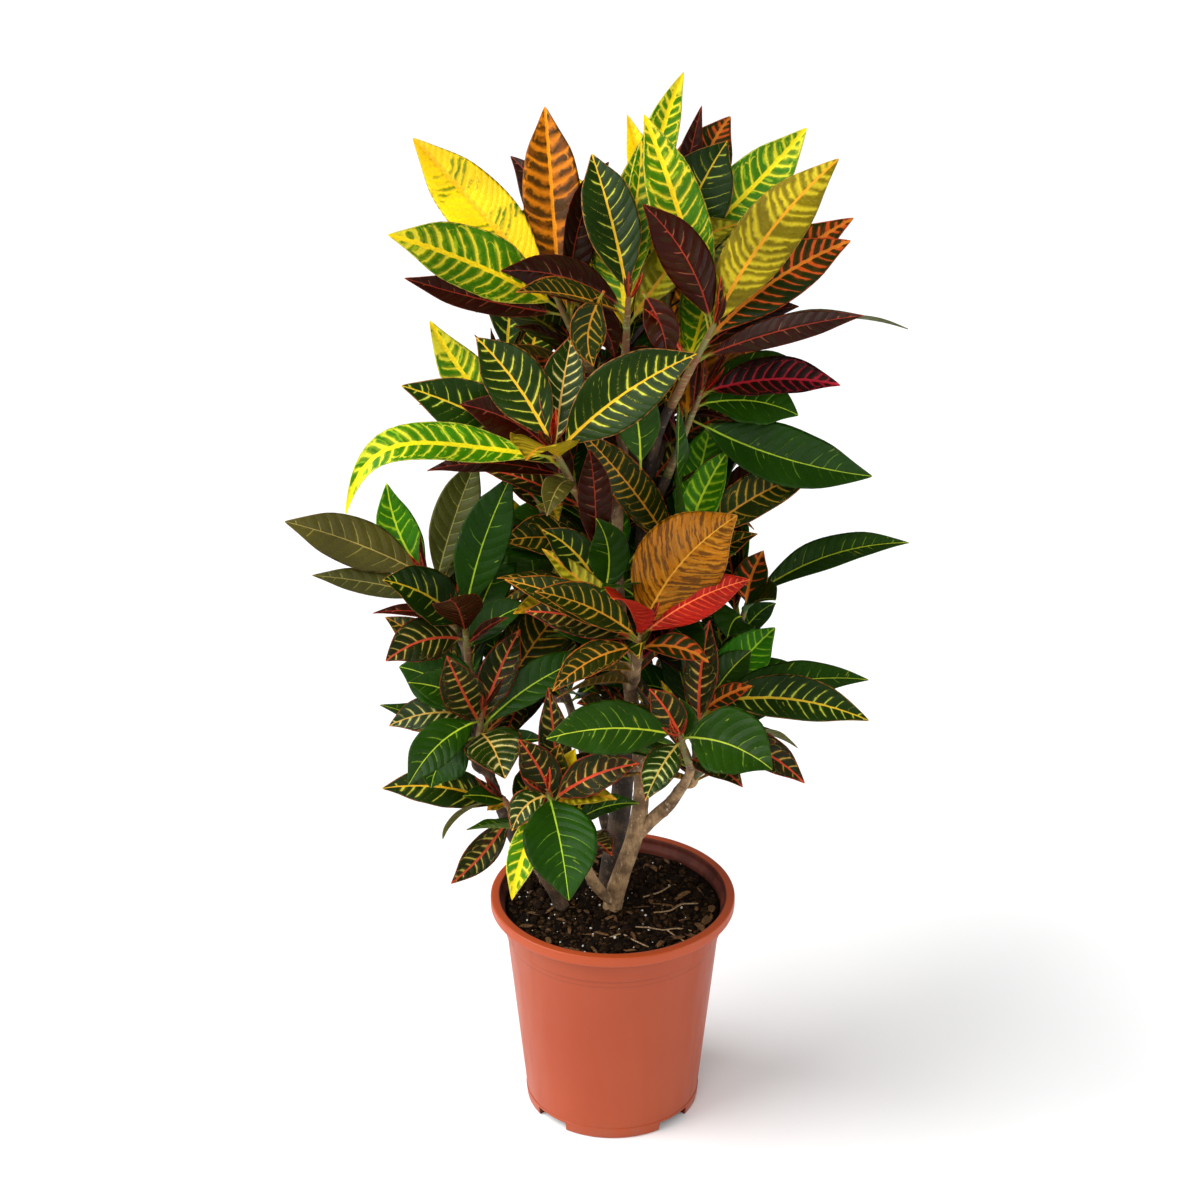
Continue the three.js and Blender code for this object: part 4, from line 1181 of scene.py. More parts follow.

# the maroon looks here are partly the plant's own maroon leaves and partly dark leaves that stand in for
# the shade inside the crown
moreLooks = {
    "gold": ("maroon", "banded", "maroon", "veined", "maroon"),
    "green": ("green", "banded", "veined", "olive", "green", "redvein"),
    "red": ("maroon", "redvein", "crimson", "veined", "green"),
}

# Each look as a change of the plain green one. Widths and spacing are in mm, shares are of 1.
plainLook = {
    "blade": "#1c3a03",
    "vein": "#6c8a22",
    "rib": "#a8bd2e",
    "edge": "#3d4c12",
    "dull": "#3c5818",
    "slim": 0.9,  # share of the source's width
    "spacing": 11,
    "veinWidth": 0.55,
    "flood": 0.0,  # how much wider the veins are at the tip
    "patches": 0.0,  # share of the blade that is all vein colour
    "missing": 0.5,  # share of the side veins that stay green
    "reach": (0.3, 0.9),  # how far the veins go towards the margin
    "loops": 0.0,  # arcs that join the veins near the margin
    "slant": 0.42,  # how much they lean to the tip
    "soft": 0.25,  # how far their colour runs out into the blade
    "ribWidth": 2.0,
    "ribBase": 1.0,  # share of that width at the stalk
    "ribTip": 0.25,
    "edgeWidth": 0.6,
    "speckle": 0.05,  # share of small stains between the veins
    "stain": "#8f9e2a",
}

looks = {
    "green": {},
    "banded": {
        "blade": "#182b03", "vein": "#b0b23a", "rib": "#d0a520", "edge": "#8f5e2a", "dull": "#42440f",
        "veinWidth": 1.15, "missing": 0.12, "reach": (0.5, 0.95), "ribWidth": 3.4, "edgeWidth": 0.8,
        "stain": "#b8ac2c", "speckle": 0.05, "patches": 0.04,
    },
    "lace": {
        "blade": "#386b02", "vein": "#d0c62a", "rib": "#e8cb18", "edge": "#b9b23a", "dull": "#73801c",
        "spacing": 11, "veinWidth": 1.35, "flood": 1.5, "missing": 0.0, "reach": (0.8, 1.05), "loops": 0.9,
        "slant": 0.34, "soft": 0.6, "ribWidth": 4.6, "ribTip": 0.8, "edgeWidth": 1.1, "stain": "#8fb01c",
        "speckle": 0.25, "patches": 0.1,
    },
    "gold": {
        "blade": "#3f7205", "vein": "#efc90b", "rib": "#ecb812", "edge": "#d9bc2a", "dull": "#ab8d1c",
        "spacing": 8, "veinWidth": 2.8, "flood": 1.2, "missing": 0.0, "reach": (0.9, 1.3), "loops": 0.9,
        "slant": 0.3, "soft": 0.9, "ribWidth": 6, "ribTip": 0.7, "edgeWidth": 1.4, "stain": "#b8a514",
        "speckle": 0.4, "patches": 0.74,
    },
    "amber": {
        "blade": "#6b3a03", "vein": "#c4720a", "rib": "#e08c14", "edge": "#8a5714", "dull": "#6e4214",
        "spacing": 12, "veinWidth": 2.3, "missing": 0.0, "reach": (0.9, 1.2), "slant": 0.02, "soft": 1.5,
        "ribWidth": 3.6, "ribTip": 0.6, "edgeWidth": 0.8, "stain": "#2e2403", "speckle": 0.6, "loops": 0.7,
        "patches": 0.3,
    },
    "bronze": {
        "blade": "#955c04", "vein": "#a06e16", "rib": "#c48e2c", "edge": "#ac7a30", "dull": "#a8690a",
        "slim": 0.86, "spacing": 7, "veinWidth": 1.0, "missing": 0.1, "reach": (0.7, 1.1), "slant": 0.36,
        "soft": 1.0, "ribWidth": 2.2, "edgeWidth": 0.8, "stain": "#261202", "speckle": 0.5,
    },
    "veined": {
        "blade": "#222c06", "vein": "#b88a26", "rib": "#cf8a28", "edge": "#a85a1c", "dull": "#4c3a10",
        "spacing": 9.5, "veinWidth": 1.1, "missing": 0.1, "reach": (0.6, 1.0), "loops": 0.6,
        "ribWidth": 2.4, "edgeWidth": 1.0, "stain": "#7a5a14", "patches": 0.05,
    },
    "maroon": {
        "blade": "#290801", "vein": "#74402a", "rib": "#8a2c1c", "edge": "#6a2610", "dull": "#260801",
        "slim": 0.68, "veinWidth": 0.7, "missing": 0.4, "reach": (0.25, 0.7), "ribWidth": 1.6,
        "stain": "#281803", "speckle": 0.45,
    },
    "olive": {
        "blade": "#675b03", "vein": "#b09e1c", "rib": "#c98c1c", "edge": "#a88224", "dull": "#8a7c08",
        "slim": 0.82, "spacing": 9, "veinWidth": 2.3, "missing": 0.0, "reach": (0.7, 1.1), "slant": 0.22,
        "soft": 1.4, "ribWidth": 3.6, "ribTip": 0.5, "stain": "#5a4e04", "speckle": 0.25,
    },
    "dusky": {
        "blade": "#454416", "vein": "#7c7a38", "rib": "#968a46", "edge": "#74623a", "dull": "#67612a",
        "veinWidth": 0.7, "missing": 0.2, "reach": (0.5, 0.9), "ribWidth": 1.5, "stain": "#4c3c24",
    },
    "scarlet": {
        "blade": "#8e1408", "vein": "#b8421f", "rib": "#d8683a", "edge": "#c03c1c", "dull": "#7c120a",
        "spacing": 6.5, "veinWidth": 0.7, "missing": 0.1, "reach": (0.6, 1.0), "ribWidth": 1.8,
        "stain": "#6c0e06", "speckle": 0.45,
    },
    "cream": {
        "blade": "#1a2c03", "vein": "#bcb46a", "rib": "#c49a42", "edge": "#8f452a", "dull": "#44280f",
        "spacing": 8.5, "veinWidth": 1.2, "missing": 0.08, "reach": (0.6, 0.95), "loops": 0.4,
        "ribWidth": 2.4, "edgeWidth": 0.9,
    },
    "redvein": {
        "blade": "#1b2205", "vein": "#ad9040", "rib": "#bd4426", "edge": "#852a16", "dull": "#38140a",
        "spacing": 9.5, "veinWidth": 1.1, "missing": 0.12, "reach": (0.45, 0.95), "loops": 0.4,
        "ribWidth": 3.2, "ribTip": 0.4, "edgeWidth": 0.9, "stain": "#3c1c0a", "speckle": 0.35,
    },
    "crimson": {
        "blade": "#1d0604", "vein": "#a01c28", "rib": "#b82232", "edge": "#651216", "dull": "#2c0a08",
        "spacing": 10, "veinWidth": 1.3, "flood": 0.9, "missing": 0.1, "reach": (0.6, 1.0), "loops": 0.9,
        "ribWidth": 2.6, "ribTip": 0.8, "stain": "#4c0e12",
    },
    "lime": {
        "blade": "#2c6403", "vein": "#86b01c", "rib": "#a8c82a", "edge": "#6c901c", "dull": "#4a701f",
        "spacing": 9.5, "veinWidth": 1.2, "missing": 0.05, "reach": (0.7, 1.0), "loops": 0.5,
        "soft": 0.7, "ribWidth": 2.8, "ribTip": 0.4, "stain": "#7a9c1c",
    },
    "flame": {
        "blade": "#182403", "vein": "#bd4a16", "rib": "#c96c1e", "edge": "#a03a16", "dull": "#4a1c0c",
        "spacing": 9.5, "veinWidth": 1.6, "flood": 1.1, "missing": 0.2, "reach": (0.7, 1.1),
        "ribWidth": 3.2, "ribTip": 0.7, "edgeWidth": 1.0, "stain": "#a8822a",
        "speckle": 0.05, "patches": 0.06,
    },
}

toneKeys = ("blade", "vein", "rib", "edge", "dull", "stain")
placeKeys = {
    # attribute: where a point of a blade lies, as shares and in metres
    "bladePlace": ("t", "u", "seed"),
    "bladeSpan": ("along", "across", "half"),
}
planKeys = {
    # attribute: three values of a look, in metres where they are in mm
    "veinPlan": ("spacing", "veinWidth", "flood"),
    "veinEnds": ("missing", "reachLow", "reachHigh"),
    "veinStyle": ("loops", "slant", "soft"),
    "ribPlan": ("ribWidth", "ribBase", "ribTip"),
    "edgePlan": ("edgeWidth", "speckle", "patches"),
}
lengthKeys = ("spacing", "veinWidth", "ribWidth", "edgeWidth")


def lookOf(name, seed):
    # the look, with its widths, spacing and missing veins varied a little from leaf to leaf
    look = {**plainLook, **looks[name]}
    look["reachLow"], look["reachHigh"] = look["reach"]
    look["spacing"] *= 0.88 + 0.24 * draw(seed + 0.6)
    look["veinWidth"] *= 0.8 + 0.4 * draw(seed + 0.7)
    look["missing"] += 0.14 * draw(seed + 0.8)
    return {key: value * metres if key in lengthKeys else value for key, value in look.items()}


viewDrop = math.radians(25)
viewRight = np.array([1.0, 0, 0])
viewUp = np.array([0, math.sin(viewDrop), math.cos(viewDrop)])
viewAway = np.array([0, math.cos(viewDrop), -math.sin(viewDrop)])

# ways to bend a leaf clear: (away, up, arch) for one seen from the front, (swing, lift) for one behind
frontNudges = [
    (away, up, arch)
    for arch in (0, 10, -8)
    for up in (0, 8, -8)
    for away in (0, -15, 15, -30, 30, -45, 45, -60, 60, -80, 80)
]
backNudges = [
    (swing, lift)
    for lift in (0, 10, -10, 20, -20, 30, -30, 40, -40)
    for swing in (0, 14, -14, 28, -28, 42, -42, 56, -56)
]


def leafCount(head):
    return len(head["leaves"]) + head["backLeaves"]


def rootOf(head, place):
    length = np.linalg.norm(head["stalk"])
    step = min(shoot["leafStep"], shoot["filled"] * length / leafCount(head))
    return crownOf(head) + downFrom(head) * step * place


def wayTo(azimuth, rise):
    level = math.cos(rise)
    return np.array([math.cos(azimuth) * level, math.sin(azimuth) * level, math.sin(rise)])


def rolledUp(azimuth, roll):
    # the way a blade faces that leans to its side
    return np.array([-roll * math.sin(azimuth), roll * math.cos(azimuth), 1])


def frontLeaf(head, place, nudge):
    # the head's leaf of this row in its table, which gives its tip in the front view
    moreAway, moreUp, moreArch = nudge
    look, right, up, away, width, arch, face, *rest = head["leaves"][place]
    turn = math.radians(face)
    return {
        "root": rootOf(head, place),
        "tip": head["crown"] + viewRight * right + viewUp * (up + moreUp) + viewAway * (away + moreAway),
        "width": width,
        "arch": arch + moreArch,
        "facing": np.array([0, -math.cos(turn), math.sin(turn)]),
        "hook": rest[0] if rest else 2,
        "look": look,
        "dullTop": face > 120,
        "isFront": True,
        "sections": leafShape["narrowSections" if width < leafShape["narrow"] else "sections"],
    }


def rearLeaf(head, place, nudge):
    # a leaf of the rule: a fan behind a front head, or a ring all round a back one
    swing, lift = nudge
    number = place - len(head["leaves"])
    last = head["backLeaves"] - 1
    seed = head["crown"][0] + 3 * head["crown"][2] + number
    if head["leaves"]:
        turn = 90 + backLeaf["fan"] * (number - last / 2)
        rise = np.interp(draw(seed + 0.5), (0, 1), backLeaf["fanRise"])
    else:
        turn = 90 + backLeaf["ringSpread"] * ((backLeaf["ringStep"] * number) % 1 - 0.5)
        rise = np.interp(number / last, (0, 1), backLeaf["ringRise"])
    azimuth = math.radians(turn + backLeaf["swing"] * (draw(seed) - 0.5) + swing)
    length = backLeaf["length"] * (1 + backLeaf["lengthSpread"] * (draw(seed + 0.25) - 0.5))
    root = rootOf(head, place)
    choices = backLooks[head["tone"]]
    return {
        "root": root,
        "tip": root + wayTo(azimuth, math.radians(rise + lift)) * length,
        "width": length * backLeaf["widthShare"],
        "arch": backLeaf["arch"],
        "facing": rolledUp(azimuth, backLeaf["roll"] * (2 * draw(seed + 0.75) - 1)),
        "hook": backLeaf["hook"],
        "look": choices[int(draw(seed + 0.4) * len(choices))],
        "sections": leafShape["backSections"],
    }


def outline(u):
    # how wide a blade is: u^rootPower * (1 - u)^tipPower
    return u ** leafShape["rootPower"] * (1 - u) ** leafShape["tipPower"]


def bladeShare(t):
    # share of the greatest half width at t, from 0 at the root to 1 at the tip
    stalk, a, b = (leafShape[key] for key in ("stalkShare", "rootPower", "tipPower"))
    return outline(np.clip((t - stalk) / (1 - stalk), 0, 1)) / outline(a / (a + b))


def leafSpine(leaf, t):
    # Centre, tangent, normal and side of the leaf's middle surface at every t. The centre is the chord
    # from root to tip, raised by arch * (t - t^hook) / the greatest value of that.
    chord = leaf["tip"] - leaf["root"]
    along = unit(chord)
    bow = unit(np.array([0, 0, 1.0]) - along * along[2])
    hook = leaf["hook"]
    crest = (hook - 1) / hook ** (hook / (hook - 1))
    t = t[:, None]
    centre = leaf["root"] + chord * t + bow * leaf["arch"] * (t - t**hook) / crest
    tangent = unit(chord + bow * leaf["arch"] * (1 - hook * t ** (hook - 1)) / crest)
    normal = unit(leaf["facing"] - tangent * (tangent @ leaf["facing"])[:, None])
    return centre, tangent, normal, np.cross(tangent, normal)


def cornersOf(leaf):
    # the corner points of the source's blade at its outer sections
    t = np.array(leaf["sections"], dtype=float)
    centre, _, normal, side = leafSpine(leaf, t)
    least = np.where(t < 0.5, leafShape["stalkRadius"], leafShape["thickness"])
    half = np.maximum(least, leaf["width"] / 2 * bladeShare(t))[:, None]
    lift = normal * leafShape["thickness"] / 2
    return np.concatenate([centre + x * side * half + y * lift for x in (-1, 1) for y in (-1, 1)])


packedMatch = {
    "near": 0.06,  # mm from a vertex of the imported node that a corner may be
    "least": 0.6,  # share of the corners that are near one
    "enough": 0.95,
}


def settledLeaf(points, head, place):
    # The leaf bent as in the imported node, found by its corners, or none if it had no room there.
    isFront = place < len(head["leaves"])
    nudges, bent = (frontNudges, frontLeaf) if isFront else (backNudges, rearLeaf)
    best, bestShare = None, packedMatch["least"]
    for nudge in nudges:
        leaf = bent(head, place, nudge)
        corners = cornersOf(leaf)
        gaps = np.linalg.norm(corners[:, None] - points[None], axis=2).min(axis=1)
        share = (gaps < packedMatch["near"]).mean()
        if share > bestShare:
            best, bestShare = leaf, share
        if share > packedMatch["enough"]:
            break
    return best


def settledLeaves(name):
    head = heads[name]
    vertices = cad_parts[f"head_{name}"].data.vertices
    points = np.empty(len(vertices) * 3)
    vertices.foreach_get("co", points)
    points = points.reshape(-1, 3) / metres
    leaves = [settledLeaf(points, head, place) for place in range(leafCount(head))]
    return [leaf for leaf in leaves if leaf]


youngLeaf = {
    "looks": ("scarlet", "redvein", "maroon"),
    "step": 2,  # mm up from one to the next
    "lean": 0.45,
    "length": (24, 46),
    "widthShare": 0.2,
    "arch": -2,
    "hook": 2,
    "fold": 0.9,
    "firstSeed": 11,
    "seedStep": 50,
}


def youngLeaves(name, seed):
    # Small folded leaves that open at the crown.
    crown, up = crownOf(heads[name]), -downFrom(heads[name])
    leaves = []
    for number, look in enumerate(youngLeaf["looks"]):
        spin = 2 * np.pi * (draw(seed + number) * 0.5 + number / 3)
        way = unit(up + youngLeaf["lean"] * wayTo(spin, 0))
        length = between(youngLeaf["length"], draw(seed + number + 0.5))
        root = crown + up * youngLeaf["step"] * number
        leaves.append({
            "root": root, "tip": root + way * length, "width": length * youngLeaf["widthShare"],
            "facing": up, "look": look, **{key: youngLeaf[key] for key in ("arch", "hook", "fold")},
        })
    return leaves


innerLeaf = {
    "turns": 14,  # ways tried round its root
    "spin": 2.4,  # radians from one to the next
    "widthShare": 0.36,
    "arch": 9,
    "hook": 2.5,
    "roll": 0.75,
    "lowest": 340,
    "inside": 6,  # mm kept from the sides of the whole plant's box
    "over": 8,  # mm in the front view that count as before or behind
    "apart": 3,  # mm nearer to the front that count as before
    "samplesFrom": 0.22,  # share of the length
    "sampleRows": 9,
    "sampleSides": (-0.9, -0.3, 0.3, 0.9),  # shares of the half width
    "cover": 45,  # mm of room that a place before bare wood is worth
    "bareWood": (500, 830),
}

moreLeaf = {
    "count": 6,
    "firstAt": 14,  # mm below the head's last leaf
    "step": 13,
    "length": (74, 132),
    "rise": (0.15, 0.75),
    "behind": 17,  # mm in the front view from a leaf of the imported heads, at most
    "before": 0.2,  # share that may stand before the leaves of the table
    "clear": 5,  # mm from any other leaf
    "nearWood": 5,
}

stemLeaf = {
    "from": 400,  # height of the lowest one
    "lineRows": 120,
    "step": 21,
    # above this height the leaves are mostly maroon: partly their own colour, partly dark to stand in for
    # the shade under the top heads
    "maroonFrom": 745,
    "low": ("green", "banded", "green", "veined", "green", "redvein"),
    "high": ("maroon", "maroon", "banded", "maroon", "veined"),
    "length": (84, 140),
    "rise": (0.1, 0.9),
    "behind": 25,
    "before": 0.2,
    "clear": 4,
    "nearWood": 1,
}

centreLeaf = {
    # seen between the heads: look, root, tip, width
    "rows": [
        ("green", (-2, -22, 610), (32, -46, 729), 48),
        ("maroon", (-16, -26, 600), (-32, -50, 718), 46),
        ("flame", (46, -16, 650), (48, -34, 745), 44),
        ("green", (24, -24, 639), (55, -40, 723), 40),
        ("maroon", (-37, -44, 855), (10, -62, 813), 40),
        ("maroon", (24, -42, 861), (35, -56, 802), 44),
        ("veined", (-9, -46, 862), (-18, -62, 801), 36),
        ("green", (-9, -40, 570), (-16, -52, 653), 42),
        ("banded", (-12, -40, 576), (-66, -50, 642), 38),
        ("green", (24, -20, 686), (-2, -34, 777), 44),
        ("maroon", (-49, -30, 656), (-61, -48, 726), 40),
    ],
    "shifts": (0, -10, 10, -20, 20, -30, 30, 45),  # mm away from the front, of the tip
    "rootShifts": (0, 12, -10),
    "swings": (0, -10, 10),  # mm to the side, of the tip
    "facing": (0, -0.75, 0.65),
    "behind": 60,
    "before": 0.7,
    "clear": 2.5,
    "nearWood": 1,
}


def samplesOf(leaf):
    # points over the leaf's middle surface, beyond its stalk
    t = np.linspace(innerLeaf["samplesFrom"], 1, innerLeaf["sampleRows"])
    centre, _, _, side = leafSpine(leaf, t)
    half = leaf["width"] / 2 * bladeShare(t)
    return np.concatenate([centre + side * (u * half)[:, None] for u in innerLeaf["sampleSides"]])


def flatView(points):
    return np.stack([points @ viewRight, points @ viewUp, np.zeros(len(points))], -1)


def treeOf(points):
    tree = KDTree(len(points))
    for number, point in enumerate(points):
        tree.insert(point, number)
    tree.balance()
    return tree


def flatTree(points):
    return {"tree": treeOf(flatView(points)), "depths": points @ viewAway}


def gapsTo(tree, points):
    # how far each point is from the nearest one in the tree
    return np.array([tree.find(point)[2] for point in points])


def shareBefore(flat, points):
    # the share of points that stand before those of the flat tree in the front view
    found = [flat["tree"].find(point) for point in flatView(points)]
    gaps = np.array([gap for _, _, gap in found])
    nearer = flat["depths"][[place for _, place, _ in found]] - points @ viewAway
    return ((gaps < innerLeaf["over"]) & (nearer > innerLeaf["apart"])).mean()


def innerLeafAt(root, tip, width, facing, look):
    shape = {key: innerLeaf[key] for key in ("arch", "hook")}
    return {"root": root, "tip": tip, "width": width, "facing": facing, "look": look, **shape}


def turnedLeaves(root, number, seed, plan, choices):
    # leaves all round this root
    look = choices[int(draw(seed + 0.77) * len(choices))]
    roll = innerLeaf["roll"] * (2 * draw(seed + 0.33) - 1)
    for turn in range(innerLeaf["turns"]):
        azimuth = innerLeaf["spin"] * number + 2 * np.pi * turn / innerLeaf["turns"]
        rise = np.interp(draw(seed + turn * 0.31), (0, 1), plan["rise"])
        length = np.interp(draw(seed + turn * 0.17 + 0.5), (0, 1), plan["length"])
        tip, width = root + wayTo(azimuth, rise) * length, length * innerLeaf["widthShare"]
        yield innerLeafAt(root, tip, width, rolledUp(azimuth, roll), look)


def shiftedLeaves(look, root, tip, width):
    # leaves about here, nearer to the front or farther from it
    for rootShift in centreLeaf["rootShifts"]:
        for shift in centreLeaf["shifts"]:
            for swing in centreLeaf["swings"]:
                newRoot = np.array(root) + viewAway * rootShift
                newTip = np.array(tip) + viewAway * shift + viewRight * swing
                yield innerLeafAt(newRoot, newTip, width, np.array(centreLeaf["facing"]), look)


def roomiest(choices, plan, trees):
    # the leaf with most room, best before bare wood
    low = np.array(cadBox[0]) / metres + innerLeaf["inside"]
    high = np.array(cadBox[1]) / metres - innerLeaf["inside"]
    best, bestWorth = None, 0
    for leaf in choices:
        points = samplesOf(leaf)
        if (points < low).any() or (points > high).any() or points[:, 2].min() < innerLeaf["lowest"]:
            continue
        if gapsTo(trees["packed"]["tree"], flatView(points)).max() > plan["behind"]:
            continue
        if shareBefore(trees["front"], points) > plan["before"]:
            continue
        room = gapsTo(trees["leaves"], points).min()
        if room < plan["clear"] or gapsTo(trees["wood"], points[1:]).min() < plan["nearWood"]:
            continue
        worth = room + innerLeaf["cover"] * shareBefore(trees["bareWood"], points)
        if worth > bestWorth:
            best, bestWorth = leaf, worth
    return best


def addLeaf(leaves, choices, plan, trees):
    leaf = roomiest(choices, plan, trees)
    if leaf:
        leaves.append(leaf)
        trees["points"] = np.concatenate([trees["points"], samplesOf(leaf)])
        trees["leaves"] = treeOf(trees["points"])


def centreLeaves(trees):
    leaves = []
    for row in centreLeaf["rows"]:
        addLeaf(leaves, shiftedLeaves(*row), centreLeaf, trees)
    print(len(leaves), "of", len(centreLeaf["rows"]), "leaves found room between the heads")
    return leaves


def moreLeaves(name, trees):
    # smaller leaves lower on the head's shoot and branch
    head = heads[name]
    crown = crownOf(head)
    used = np.linalg.norm(rootOf(head, leafCount(head) - 1) - crown)
    longest = np.linalg.norm(head["stalk"]) + stem["inLine"]
    leaves = []
    for number in range(moreLeaf["count"]):
        seed = crown[0] + 2 * crown[2] + 7 * number
        reach = used + moreLeaf["firstAt"] + moreLeaf["step"] * number
        root = crown + downFrom(head) * min(reach, longest)
        choices = turnedLeaves(root, number, seed, moreLeaf, moreLooks[head["tone"]])
        addLeaf(leaves, choices, moreLeaf, trees)
    return leaves


def stemLeaves(name, trees):
    # leaves along a stem and its branches
    leaves = []
    for place, branch in enumerate(stems[name]):
        path = stemPath(branch, place == 0)
        line = curve(path[:, :3], np.linspace(0, 1, stemLeaf["lineRows"]))
        run = runOf(line)
        for number, reach in enumerate(np.arange(stemLeaf["step"], run[-1], stemLeaf["step"])):
            root = np.array([np.interp(reach, run, line[:, axis]) for axis in range(3)])
            if root[2] > stemLeaf["from"]:
                seed = 31 * place + 5 * number + len(name)
                looksHere = stemLeaf["high" if root[2] > stemLeaf["maroonFrom"] else "low"]
                choices = turnedLeaves(root, number, seed, stemLeaf, looksHere)
                addLeaf(leaves, choices, stemLeaf, trees)
    print(name, "carries", len(leaves), "leaves")
    return leaves


def halfWidths(leaf, look, t):
    # the root of stalk(t)^2 + blade(t)^2, with the blade drawn in towards the tip and the stalk
    radius = leafShape["stalkRadius"]
    stalk = radius * (1 - 0.75 * eased(t, 0.1, 0.9)) * (1 + 0.25 * np.exp(-((t / 0.02) ** 2)))
    share = bladeShare(t) * (1 - 0.3 * eased(t, 0.72, 1)) * (1 - 0.2 * (1 - eased(t, 0.09, 0.42)))
    return np.sqrt(stalk**2 + (look["slim"] * leaf["width"] / 2 * share) ** 2)


def bladeLift(leaf, seed, t, u, half, isTop):
    # height over the middle surface: the fold, the waves towards the margin, a slow twist, half the
    # thickness and the midrib
    isBlade = eased(t, 0.08, 0.2)
    fold = leaf.get("fold", between(leafShape["fold"], draw(seed)))
    waves = between(leafShape["waves"], draw(seed + 0.1))
    phase = 2 * np.pi * draw(seed + 0.2)
    wave = np.sin(2 * np.pi * waves * t + phase + 0.8 * np.sign(u))
    lift = fold * (np.sqrt(u * u + 0.01) - 0.45) + leafShape["wave"] * u * u * wave
    lift = lift + leafShape["twist"] * u * np.sin(4.2 * t + 3 * phase)
    thick = isBlade * leafShape["halfThick"] * (1 - u**6)
    thick = thick + (1 - isBlade) * leafShape["stalkRadius"] * np.sqrt(1 - u * u)
    rib = np.exp(-((u * half / leafShape["ribHalf"]) ** 2)) * isBlade * (1 - t) ** 0.5
    ribAbove, ribBelow = leafShape["ribRise"]
    return isBlade * half * lift + np.where(isTop, thick - ribAbove * rib, -thick - ribBelow * rib)


def bladeVectors(look, seed, length, t, u, half):
    # At every point: its place and reach on the blade, and the look of its leaf.
    grid = np.stack(np.broadcast_arrays(t[:, None], u), -1).reshape(-1, 2)
    places = np.concatenate([grid, [[0, 0], [t[-1], 0]]])
    halves = np.concatenate([np.repeat(half, len(u)), [half[0], half[-1]]])
    ones = np.ones(len(places))
    reach = places * np.column_stack([ones * length, halves]) * metres
    rows = {key: [look[name] for name in names] for key, names in planKeys.items()}
    warm, bright = (0.86 + 0.28 * draw(seed + step) for step in (0.95, 0.9))
    for key in toneKeys:
        rows[key + "Tone"] = linear(look[key]) * bright * np.array([warm, 1, 1])
    return {
        "bladePlace": np.column_stack([places, ones * seed]),
        "bladeSpan": np.column_stack([reach, halves * metres]),
        **{key: np.tile(row, (len(places), 1)) for key, row in rows.items()},
    }


def atlasCorners(rows, columns, band, bands):
    # the map's corners in the order of the faces: each side of a leaf has its own band, stalk to tip
    number = 2 * columns - 2
    turn = np.arange(number)
    isUnder = turn >= columns - 1
    floor = (2 * band + isUnder + 0.06) / bands
    start = floor + np.where(isUnder, number - turn, turn) / (columns - 1) * 0.88 / bands
    end = floor + np.where(isUnder, number - turn - 1, turn + 1) / (columns - 1) * 0.88 / bands
    row = np.linspace(0.02, 0.98, rows)[:, None]
    low, high, first, last = np.broadcast_arrays(row[:-1], row[1:], start, end)
    corners = [np.stack([low, first, low, last, high, last, high, first], -1).reshape(-1, 2)]
    for pole, edge, one, other in ((0.004, row[0], end, start), (0.996, row[-1], start, end)):
        fan = np.broadcast_arrays(pole, (start + end) / 2, edge, one, edge, other)
        corners.append(np.stack(fan, -1).reshape(-1, 2))
    return np.concatenate(corners)


def leafSkin(leaf, seed, band, bands):
    # Top and underside share the margins. A point is centre(t) + side * u * half(t) + normal * lift(t, u).
    rows, columns = leafShape["rows"], leafShape["columns"]
    s, v = np.linspace(0, 1, rows), np.linspace(-1, 1, columns)
    t = np.clip(0.6 * s + 0.4 * (0.5 - 0.5 * np.cos(np.pi * s)), 0, leafShape["lastRow"])
    across = 0.45 * np.sin(v * np.pi / 2) + 0.55 * v
    u = np.concatenate([across, across[-2:0:-1]])
    place = np.arange(len(u))
    centre, tangent, normal, side = leafSpine(leaf, t)
    look = lookOf(leaf["look"], seed)
    half = halfWidths(leaf, look, t)
    lift = bladeLift(leaf, seed, t[:, None], u, half[:, None], place < columns)
    middle = centre[:, None] + side[:, None] * (u * half[:, None])[..., None]
    points = middle + normal[:, None] * lift[..., None]
    reach = leafShape["poleReach"]
    shape = skin(points, centre[0] - tangent[0] * reach, centre[-1] + tangent[-1] * reach)
    length = np.linalg.norm(leaf["tip"] - leaf["root"])
    shape["vectors"] = bladeVectors(look, seed, length, t, u, half)
    shape["corners"] = atlasCorners(rows, columns, band, bands)
    isDull = (place >= columns - 1) != bool(leaf.get("dullTop"))
    shape["faceValues"] = {"dullSide": np.tile(isDull, rows + 1).astype(float)}
    return shape


def bladeValues(finish):
    # What leafSkin stored at the points, by name, and the values that most marks are worked out from.
    blade = SimpleNamespace(dull=finish.read("dullSide", "Fac"))
    for key, names in {**placeKeys, **planKeys}.items():
        for name, value in zip(names, finish.split(finish.read(key))):
            setattr(blade, name, value)
    blade.spot = finish.join(blade.along, blade.across, blade.seed)
    blade.out, blade.outShare = abs(blade.across), abs(blade.u)
    blade.patchy = finish.noise(blade.spot, 130, 3, 0.6)
    blade.mottle = finish.noise(blade.spot, 430, 3, 0.6)
    return blade


def addVeinLines(finish, blade):
    # Side veins are whole numbers of a line that leans to the tip and bends to it near the margin.
    wobble = finish.noise(blade.spot, 26, 2)
    bend = blade.out * blade.out / blade.half * 0.45
    waver = (wobble - 0.5) * 0.008 + (blade.patchy - 0.5) * 0.003
    line = blade.along - blade.out * blade.slant - bend + waver * (blade.soft + 0.4)
    isLeft = blade.across > 0.0
    line = line / blade.spacing + isLeft * 0.43
    blade.line = line
    blade.fromVein = finish.calc("PINGPONG", line, 0.5) * 2.0
    blade.veinLots = finish.lots(math.floor(line + 0.5), isLeft, blade.seed)
    blade.cellLots = finish.lots(math.floor(line), isLeft, blade.seed)


